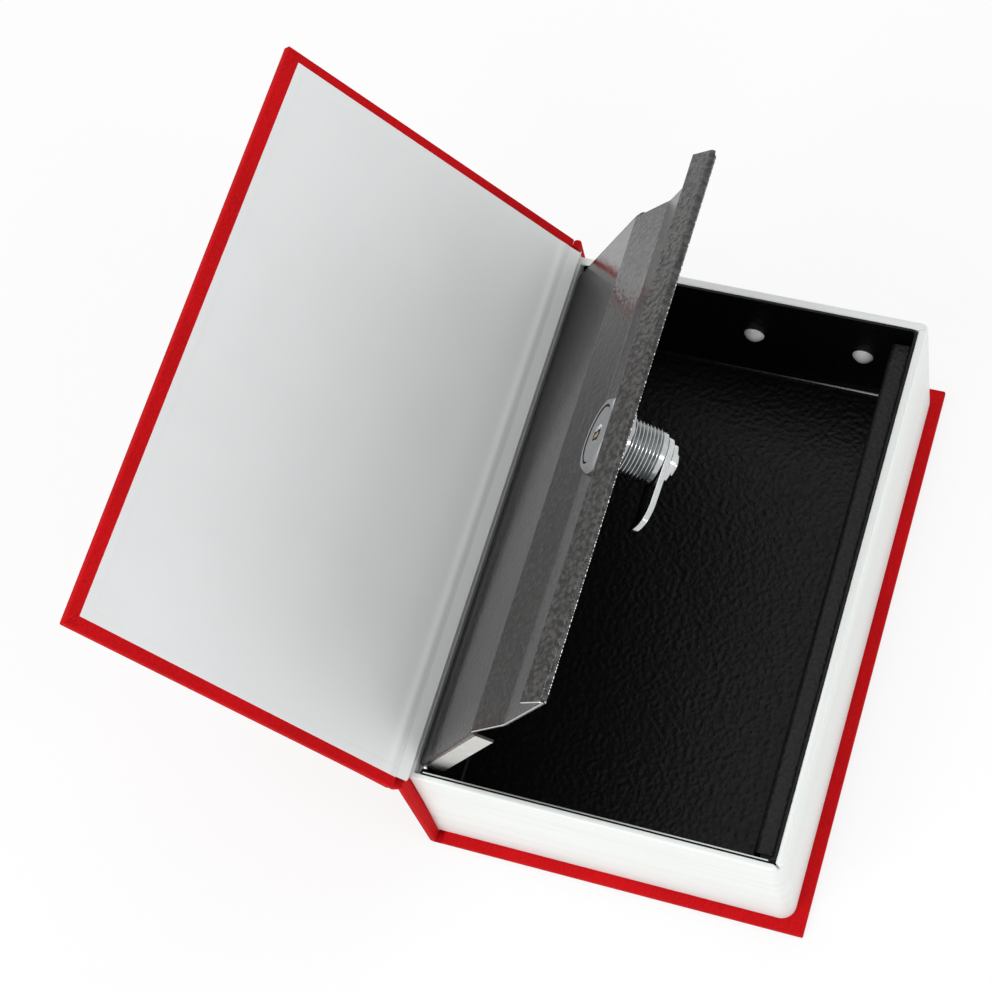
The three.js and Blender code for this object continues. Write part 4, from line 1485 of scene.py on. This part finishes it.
@dataclass
class FormedLid:
    """The formed steel lid in its closed frame about the hinge pin."""

    sheet: float = 0.8
    top: float = 2.5
    start: float = -0.3
    panel_end: float = 50.0
    slope_end: float = 65.2
    reach: float = 99.7
    recess: float = -1.9
    fold: float = 0.8
    return_angle: float = 155.0
    return_sink: float = 0.1
    soft_bend: float = 10.0
    tight_bend: float = 1.6
    half_panel: float = 81.5
    flange_ends: tuple = (50.2, 51.4)
    half_return: float = 81.3
    # Half the width at the top of the slope, at its foot and at the fold
    head_ends: tuple = (81.5, 80.7, 80.0)
    tail_ends: tuple = (81.0, 80.2, 80.7)
    flange_depth: float = 6.6
    flange_round: float = 5.3
    bead_lean: float = -50.0
    bead_sink: float = 0.1

    def path(self) -> np.ndarray:
        """The sheet's middle line: flat panel, slope, recess, tight fold and return.

        Returns:
            The path's points.
        """
        half = self.sheet / 2
        turn = math.radians(self.return_angle)
        middle = self.recess - half
        corner = self.reach - half - self.fold + self.fold * math.tan(turn / 2)
        tip_z = self.top - self.return_sink + half * math.cos(turn)
        tip = [corner + (tip_z - middle) / math.tan(turn), tip_z]
        corners = [[self.start, self.top - half], [self.panel_end, self.top - half],
                   [self.slope_end, middle], [corner, middle], tip]
        return bent_path(corners, [self.tight_bend, self.soft_bend, self.fold], 16)

    def ends(self, path: np.ndarray, flange_end: float, sizes: tuple) -> np.ndarray:
        """Half the width at each point: the panel up to its flanges, then slope and recess, then the return.

        Args:
            path: the sheet's middle line.
            flange_end: where the side flange ends.
            sizes: half the width at the top of the slope, at its foot and at the fold.

        Returns:
            One number for each point.
        """
        x = path[:, 0]
        number = np.arange(len(x))
        fold_start = int(np.argmax(x > self.reach - self.sheet / 2 - self.fold))
        beyond = np.interp(x, [flange_end, self.slope_end, self.reach - 2], sizes)
        narrow = np.where(x > flange_end, beyond, self.half_panel - self.tight_bend)
        return np.where(number > fold_start + 6, self.half_return, narrow)

    def sheet_shell(self) -> Shell:
        """The bent sheet carried along Y between its own ends, its edges past the flanges being cut faces in
        a bright finish, partly bare steel and partly a painted highlight.

        Returns:
            The shell.
        """
        path = self.path()
        tail = self.ends(path, self.flange_ends[0], self.tail_ends)
        head = self.ends(path, self.flange_ends[1], self.head_ends)
        tail, head = np.concatenate([tail, tail[::-1]]), np.concatenate([head, head[::-1]])
        shell = along_y(strip_outline(path, self.sheet), -tail, head, 0.2, 1)
        # These edge faces take the bright finish: partly bare steel, partly painted highlight
        bare = np.flatnonzero(np.concatenate([path[:, 0], path[::-1, 0]]) > self.flange_ends[0] - 0.4)
        return Shell(shell.points, shell.faces, bare.tolist() + (bare + 2 * len(tail)).tolist())

    def bead_shell(self) -> Shell:
        """A row of bright metal beads along the outside of the fold: a painted highlight where the fold
        catches the light.

        A tube along Y whose radius is 0.14 plus two sines of Y with unlike and wandering pitches, less
        towards the head, sunk so deep in the fold that only the thick places stand out of it.

        Returns:
            The shell.
        """
        y = np.linspace(-79, 79, 1500)[:, None]
        turn = full_turn(8)
        fine, broad = np.sin(y * 6.3 + np.sin(y * 0.9) * 2.4), np.sin(y * 2.3 + np.sin(y * 0.41) * 3)
        radius = np.clip(0.14 + 0.08 * fine + 0.06 * broad - 0.0006 * (y + 80), 0.02, 0.2)
        lean = math.radians(self.bead_lean)
        outer = self.fold + self.sheet / 2
        x = self.reach - outer + (outer - self.bead_sink) * math.cos(lean)
        z = self.recess - self.sheet / 2 + self.fold + (outer - self.bead_sink) * math.sin(lean)
        return skin(np.stack([x + radius * np.cos(turn), y + 0 * turn, z + radius * np.sin(turn)], -1))

    def flange_shell(self, side: int) -> Shell:
        """A side flange: a quarter bend down from the panel's edge, its hinge corner rounded.

        Args:
            side: -1 at the tail, 1 at the head.

        Returns:
            The shell, from grids of the outer and the inner face; the flat outside takes the bright second
            finish, a painted reflection.
        """
        end = self.flange_ends[(side + 1) // 2]
        along = np.linspace(0, 1, 60) ** 1.6 * (end - self.start)
        missing = np.clip(self.flange_round - along, 0, None)
        drop = self.flange_depth - self.flange_round + np.sqrt(self.flange_round ** 2 - missing ** 2)
        bend, thick = self.tight_bend, self.sheet
        arc = np.linspace(0, np.pi / 2, 7)
        side_y = self.half_panel
        outer_y = np.concatenate([side_y - bend + bend * np.sin(arc), [side_y]])
        inner_y = np.concatenate([side_y - bend + (bend - thick) * np.sin(arc), [side_y - thick]])
        outer_drop = np.concatenate([bend * (1 - np.cos(arc)), [0]])
        inner_drop = np.concatenate([thick + (bend - thick) * (1 - np.cos(arc)), [0]])
        last = np.arange(len(arc) + 1) == len(arc)
        foot = -np.maximum(drop, bend)[:, None]
        outer_z, inner_z = np.where(last, foot, -outer_drop), np.where(last, foot, -inner_drop)
        y = np.concatenate([outer_y, inner_y[::-1]])
        z = self.top + np.concatenate([outer_z, inner_z[:, ::-1]], 1)
        x = self.start + along[:, None] + 0 * z
        slope = math.atan2(self.top - self.recess, self.slope_end - self.panel_end)
        bend_start = self.panel_end - self.soft_bend * math.tan(slope / 2)
        z = z - np.clip(x - bend_start, 0, None) ** 2 / 2 / self.soft_bend
        shell = skin(np.stack([x, side * (y + 0 * z), z], -1))
        # The flanges' flat outsides get the bright second finish: a painted reflection
        flat_face, first = len(arc) - 1, 12
        thin = [i * len(y) + flat_face for i in range(first, len(along) - 1)]
        return Shell(shell.points, shell.faces, thin)

    def build(self, maker: Maker) -> None:
        """Makes the lid as one piece of three closed shells.

        Args:
            maker: puts the pieces into the scene.
        """
        shell = joined(self.sheet_shell(), self.flange_shell(-1), self.flange_shell(1))
        maker.mount(Body.LID, "lid_panel", "formed_lid", shell, LID_PAINT, Slot.LID, turned=LID_OPEN,
                    sharp=50, bevel=0.12, cut=BARE_EDGE_AND_GLARE)
        # The beads are bright dots that paint the fold's broken highlight
        beads = self.bead_shell()
        maker.mount(Body.LID, None, "fold_painted_glints", beads, BARE_STEEL_AND_GLINT, Slot.LID, turned=LID_OPEN)


@dataclass
class CamLock:
    """The cam lock along Z from the outside of the lid's recess, in the lid's closed frame."""

    reach: float = 78.7
    seat: float = -1.9
    bezel: float = 11.2
    bezel_height: float = 3.2
    bezel_slope: float = 1.3
    barrel: float = 8.0
    root: float = 7.1
    pitch: float = 1.05
    crest_shares: tuple = (0.38, 0.56)
    threads: int = 12
    thread_start: float = -0.6
    barrel_end: float = -15.0
    collar: float = 7.6
    bore: float = 6.2
    face: float = 8.2
    face_top: float = 2.95
    face_rim: float = 1.2
    ring_gap: float = 0.28
    nut: float = 9.6
    nut_top: float = -0.85
    nut_thick: float = 3.7
    cam_top: float = -15.3
    cam_thick: float = 1.6
    cam_head: float = 6.8
    cam_tip: float = 5.2
    cam_reach: float = 22.0
    cam_bend: float = 13.6
    cam_rise: float = 1.5
    cam_tip_round: float = 3.0
    washer: float = 5.6
    washer_thick: float = 1.4
    washer_hole: float = 1.5
    screw: float = 3.3
    screw_height: float = 1.9
    recess_half: float = 0.5
    recess_reach: float = 2.3
    recess_depth: float = 1.2
    core: float = 4.4
    core_tail: float = 2.0
    key_length: float = 5.4
    key_width: float = 4.3

    def bezel_shell(self) -> Shell:
        """The bezel ring, turned from a closed profile.

        Returns:
            The shell.
        """
        h, s, rim = self.bezel_height, self.bezel_slope, self.bezel
        ring = self.face + self.ring_gap
        return revolved([[self.bore, 0.9], [ring, 0.9], [ring, h - 0.25], [ring + 0.2, h],
                         [rim - s - 0.15, h], [rim - s + 0.15, h - 0.12], [rim - 0.1, h - s],
                         [rim, h - s - 0.25], [rim, 0.25], [rim - 0.25, 0.0], [self.bore, 0.0]])

    def gap_shell(self) -> Shell:
        """A dark ring between bezel and plug: painted shade where the groove between them lies in shadow.

        Returns:
            The shell.
        """
        low, high = self.face_top - 1.0, self.bezel_height - 0.08
        inner, outer = self.face - 0.06, self.face + self.ring_gap + 0.01
        return revolved([[inner, low], [outer, low], [outer, high], [self.face + 0.2, high],
                         [inner, self.face_top + 0.02]])

    def barrel_shell(self) -> Shell:
        """Threaded barrel and plain collar, turned from one closed profile.

        Returns:
            The shell.
        """
        root, crest, start = self.root, self.barrel, self.thread_start
        up, down = (share * self.pitch for share in self.crest_shares)
        head = [[self.bore, -0.1], [root, -0.1]]
        thread = []
        for i in range(self.threads):
            z = start - i * self.pitch
            thread += [[root, z], [crest, z - up], [crest, z - down]]
        low = start - self.threads * self.pitch
        tail = [[root, low], [self.collar, low - 0.25], [self.collar, self.barrel_end + 0.2],
                [self.collar - 0.2, self.barrel_end], [self.bore, self.barrel_end]]
        return revolved(head + thread + tail)

    def plug_shell(self) -> Shell:
        """The face disc with its ring groove, on a plain core.

        Returns:
            The shell.
        """
        t, face, body, core = self.face_top, self.face, self.bore - 0.15, self.core
        back, shoulder, end = t - self.face_rim, self.cam_top + 0.4, self.cam_top - self.core_tail
        profile = [[0, t], [face - 0.2, t], [face, t - 0.2], [face, back], [body, back], [body, shoulder],
                   [core, shoulder], [core, end], [0, end]]
        return revolved(profile, looped=False)

    def block_shell(self, x0: float, x1: float, y0: float, y1: float, top: float) -> Shell:
        """A small eased block that stands in the key opening.

        Args:
            x0: low X.
            x1: high X.
            y0: low Y.
            y1: high Y.
            top: how far it stands over the face.

        Returns:
            The shell.
        """
        t, e = self.face_top, 0.12
        levels = ((0.0, -5.0), (0.0, top - e), (e, top))
        rings = [[[x0 + i, y0 + i, t + z], [x1 - i, y0 + i, t + z],
                  [x1 - i, y1 - i, t + z], [x0 + i, y1 - i, t + z]] for i, z in levels]
        return skin(np.array(rings))

    def opening_shell(self) -> Shell:
        """The key opening as a dark sheet a hair over the face, painted shade for its depth: two straight
        sides and two round ends.

        Returns:
            The shell.
        """
        r, a = self.key_width / 2, np.linspace(-np.pi / 2, np.pi / 2, 12)
        right = np.stack([self.key_length / 2 - r + r * np.cos(a), r * np.sin(a)], 1)
        outline = np.concatenate([right, -right])
        return skin(np.array([at_height(outline, self.face_top + z) for z in (-0.5, 0.03)]))

    def nut_shell(self) -> Shell:
        """A thin ring nut with eased edges.

        Returns:
            The shell.
        """
        top, low, rim = self.nut_top, self.nut_top - self.nut_thick, self.nut
        return revolved([[self.root, low], [rim - 0.3, low], [rim, low + 0.3], [rim, top - 0.2],
                         [rim - 0.2, top], [self.root, top]])

    def cam_shell(self) -> Shell:
        """A flat arm carried along Y: round at its head, straight sides, and a tip that curls up.

        Returns:
            The shell.
        """
        head = self.cam_head * np.cos(np.linspace(0.02, np.pi / 2, 24))
        straight = np.linspace(-0.5, -self.cam_bend, 14)
        tip = -self.cam_bend - (self.cam_reach - self.cam_bend) * np.sin(np.linspace(0.05, np.pi / 2, 20))
        y = np.concatenate([head, straight, tip])
        round_head = np.sqrt(np.clip(self.cam_head ** 2 - y ** 2, 0.01, None))
        taper = np.clip(-y / self.cam_bend, 0, 1)
        side = self.cam_head + (self.cam_tip - self.cam_head) * taper
        past = np.clip((-y - self.cam_reach + self.cam_tip_round) / self.cam_tip_round, 0, 1)
        side = side * np.sqrt(np.clip(1 - past ** 2 * 0.93, 0.05, 1))
        half = np.where(y > 0, round_head, side)
        curl = np.clip((-y - self.cam_bend) / (self.cam_reach - self.cam_bend), 0, 1)
        middle = self.cam_top - self.cam_thick / 2 + self.cam_rise * curl ** 1.8
        corner = bent_path([[-1, -1], [1, -1], [1, 1], [-1, 1]], [0.2] * 4, 3, closed=True)
        edge = np.minimum(half, 0.9)[:, None]
        x = np.sign(corner[:, 0]) * (half[:, None] - edge * (1 - np.abs(corner[:, 0])))
        z = middle[:, None] + corner[:, 1] * self.cam_thick / 2
        return skin(np.stack([x, y[:, None] + 0 * x, z], -1))

    def washer_shell(self) -> Shell:
        """A plain washer under the screw.

        Returns:
            The shell.
        """
        top = self.cam_top - self.cam_thick - 0.45
        low = top - self.washer_thick - 0.1
        rim, hole = self.washer, self.washer_hole
        return revolved([[hole, low], [rim - 0.3, low], [rim, low + 0.3], [rim, top], [hole, top]])

    def screw_shell(self) -> Shell:
        """A pan head with a cross recess: a dome lowered where it is near either of two crossed lines.

        Returns:
            The shell.
        """
        seat = self.cam_top - self.cam_thick - self.washer_thick - 0.55
        share = np.linspace(0, 1, 40)[:, None]
        angle = full_turn(ROUND_STEPS)
        r = self.screw * share
        x, y = r * np.cos(angle), r * np.sin(angle)
        dome = self.screw_height * np.sqrt(np.clip(1 - 0.72 * share ** 2.6, 0, 1)) + 0 * angle
        near = np.minimum(np.abs(x), np.abs(y))
        far = np.maximum(np.abs(x), np.abs(y))
        dip = np.clip((self.recess_half - near) / 0.12, 0, 1) * np.clip((self.recess_reach - far) / 0.4, 0, 1)
        return capped(np.stack([x, y, seat - dome + dip * self.recess_depth], -1), 2, seat + 0.05)

    def build(self, maker: Maker) -> None:
        """Makes the lock's pieces and puts each on its body.

        Args:
            maker: puts the pieces into the scene.
        """
        core = self.block_shell(-1.5, 1.4, -1.1, 0.35, 0.12)
        shutter = self.block_shell(-0.9, 2.0, 0.75, 2.2, 0.3)
        lip = self.block_shell(-1.8, 0.6, -2.2, -1.8, 0.1)
        # Name, shell, finish, slot, body, and the CAD node that it replaces
        parts = [
            ("lock_bezel_ring", self.bezel_shell(), CHROME, Slot.CHROME, Body.LID, "lock_housing"),
            ("lock_barrel", self.barrel_shell(), THREAD, Slot.CHROME, Body.LID, "lock_housing"),
            # bezel_gap_ring and key_opening are dark pieces of painted shade
            ("bezel_gap_ring", self.gap_shell(), SHADE, Slot.CHROME, Body.LID, None),
            ("lock_ring_nut", self.nut_shell(), CHROME, Slot.CHROME, Body.LID, "lock_nut"),
            ("lock_face_plug", self.plug_shell(), CHROME, Slot.CHROME, Body.LOCK, "lock_plug"),
            ("key_opening", self.opening_shell(), SHADE, Slot.BRASS, Body.LOCK, None),
            ("keyway_core", core, BRASS, Slot.BRASS, Body.LOCK, "key_core"),
            ("key_shutter", shutter, BARE_STEEL_AND_GLINT, Slot.BRASS, Body.LOCK, None),
            ("key_opening_lip", lip, BARE_STEEL_AND_GLINT, Slot.BRASS, Body.LOCK, None),
            ("cam_arm", self.cam_shell(), ZINC, Slot.CAM, Body.LOCK, "cam"),
            ("cam_stop_washer", self.washer_shell(), ZINC, Slot.CAM, Body.LOCK, "cam_washer"),
            ("cam_fixing_screw", self.screw_shell(), ZINC, Slot.CAM, Body.LOCK, "cam_screw"),
        ]
        for name, shell, finish, slot, body, node in parts:
            placed = shell.moved(self.reach, self.seat)
            maker.mount(body, node, name, placed, finish, slot, turned=LID_OPEN, sharp=35)


# Studio


@dataclass
class Studio:
    """Pale floor, soft lamps, white surroundings and the photograph's camera."""

    lens: float = 89.657
    sensor: float = 36.0
    eye: tuple = (0.13058, -0.25293, 0.70988)
    right: tuple = (0.94342467, 0.29347170, -0.15435104)
    down: tuple = (0.21018764, -0.88930503, -0.40614986)
    forward: tuple = (-0.25645865, 0.35072912, -0.90067644)
    ambient: float = 0.55
    floor_half: float = 4000.0
    floor_grey: float = 0.86
    floor_white: float = 0.8
    # Name, place and side in metres, and power in watts
    lamps: tuple = (
        ("key_lamp", (-0.55, -1.0, 1.05), 0.9, 11.0),
        ("top_lamp", (-0.15, 0.35, 1.5), 1.0, 5.8),
        ("side_lamp", (1.3, -0.3, 0.55), 0.9, 3.4),
        ("edge_lamp", (0.84, -0.22, 1.2), 0.22, 1.2),
    )

    def camera(self) -> None:
        """Sets the camera by the three directions of its frame."""
        data = bpy.data.cameras.new("photo_camera")
        data.lens, data.sensor_width = self.lens, self.sensor
        made = linked("photo_camera", data)
        turn = np.array([self.right, -np.array(self.down), -np.array(self.forward)]).T
        made.matrix_world = Matrix([[*turn[i], self.eye[i]] for i in range(3)] + [[0, 0, 0, 1]])
        bpy.context.scene.camera = made

    def world(self) -> None:
        """White where the camera or a reflection looks, softer as a light."""
        world = bpy.data.worlds.new("white_room")
        bpy.context.scene.world = world
        world.use_nodes = True
        graph = Graph(world.node_tree)
        strength = self.seen(graph) * (1.0 - self.ambient) + self.ambient
        shader = graph.node("ShaderNodeBackground", {}, {"Color": (1, 1, 1, 1), "Strength": strength}, 0)
        graph.output(shader, "ShaderNodeOutputWorld")

    @staticmethod
    def seen(graph: Graph) -> Value:
        """1 for camera, glossy and transmission rays, else 0.

        Args:
            graph: the graph of the world or of the floor.

        Returns:
            The mask.
        """
        rays = [graph.node("ShaderNodeLightPath", {}, {}, name)
                for name in ("Is Camera Ray", "Is Glossy Ray", "Is Transmission Ray")]
        return (rays[0] + rays[1] + rays[2]).over(0.0, 1.0)

    def floor(self) -> None:
        """A wide pale floor that is white to the camera but keeps part of the shadow."""
        material = bpy.data.materials.new("pale_floor")
        material.use_nodes = True
        graph = Graph(material.node_tree)
        plain = graph.node("ShaderNodeBsdfDiffuse", {}, {"Color": (*[self.floor_grey] * 3, 1)}, 0)
        white = graph.node("ShaderNodeEmission", {}, {"Color": (1, 1, 1, 1), "Strength": 1.0}, 0)
        share = self.seen(graph) * self.floor_white
        graph.output(graph.node("ShaderNodeMixShader", {}, {0: share, 1: plain, 2: white}, 0))
        half = self.floor_half
        shell = skin(np.array([rounded_loop(-half, half, half, 10, z, 2) for z in (-10.0, 0.0)]))
        mesh = bpy.data.meshes.new("floor")
        mesh.from_pydata((shell.points * MM).tolist(), [], shell.faces)
        mesh.materials.append(material)
        linked("floor", mesh)

    def light(self) -> None:
        """Square soft lamps that look at the safe."""
        for name, place, size, power in self.lamps:
            data = bpy.data.lights.new(name, "AREA")
            data.size, data.energy = size, power
            made = linked(name, data)
            made.location = place
            made.rotation_euler = Vector(place).to_track_quat("Z", "Y").to_euler()

    def build(self) -> None:
        """Sets up the whole studio."""
        self.camera()
        self.world()
        self.floor()
        self.light()
        bpy.context.scene.view_settings.view_transform = "Standard"


def write_size() -> None:
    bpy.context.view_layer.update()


def main() -> None:
    """Builds every sub-assembly in order."""
    logging.basicConfig(level=logging.INFO, format="%(name)s %(message)s")
    Studio().build()
    maker = Maker()
    for part in (BookCase(), FrontCover(), PageBlock(), SteelBox(), FormedLid(), CamLock()):
        part.build(maker)
        log.info("%s done", type(part).__name__)
    write_size()


if __name__ == "__main__":
    main()
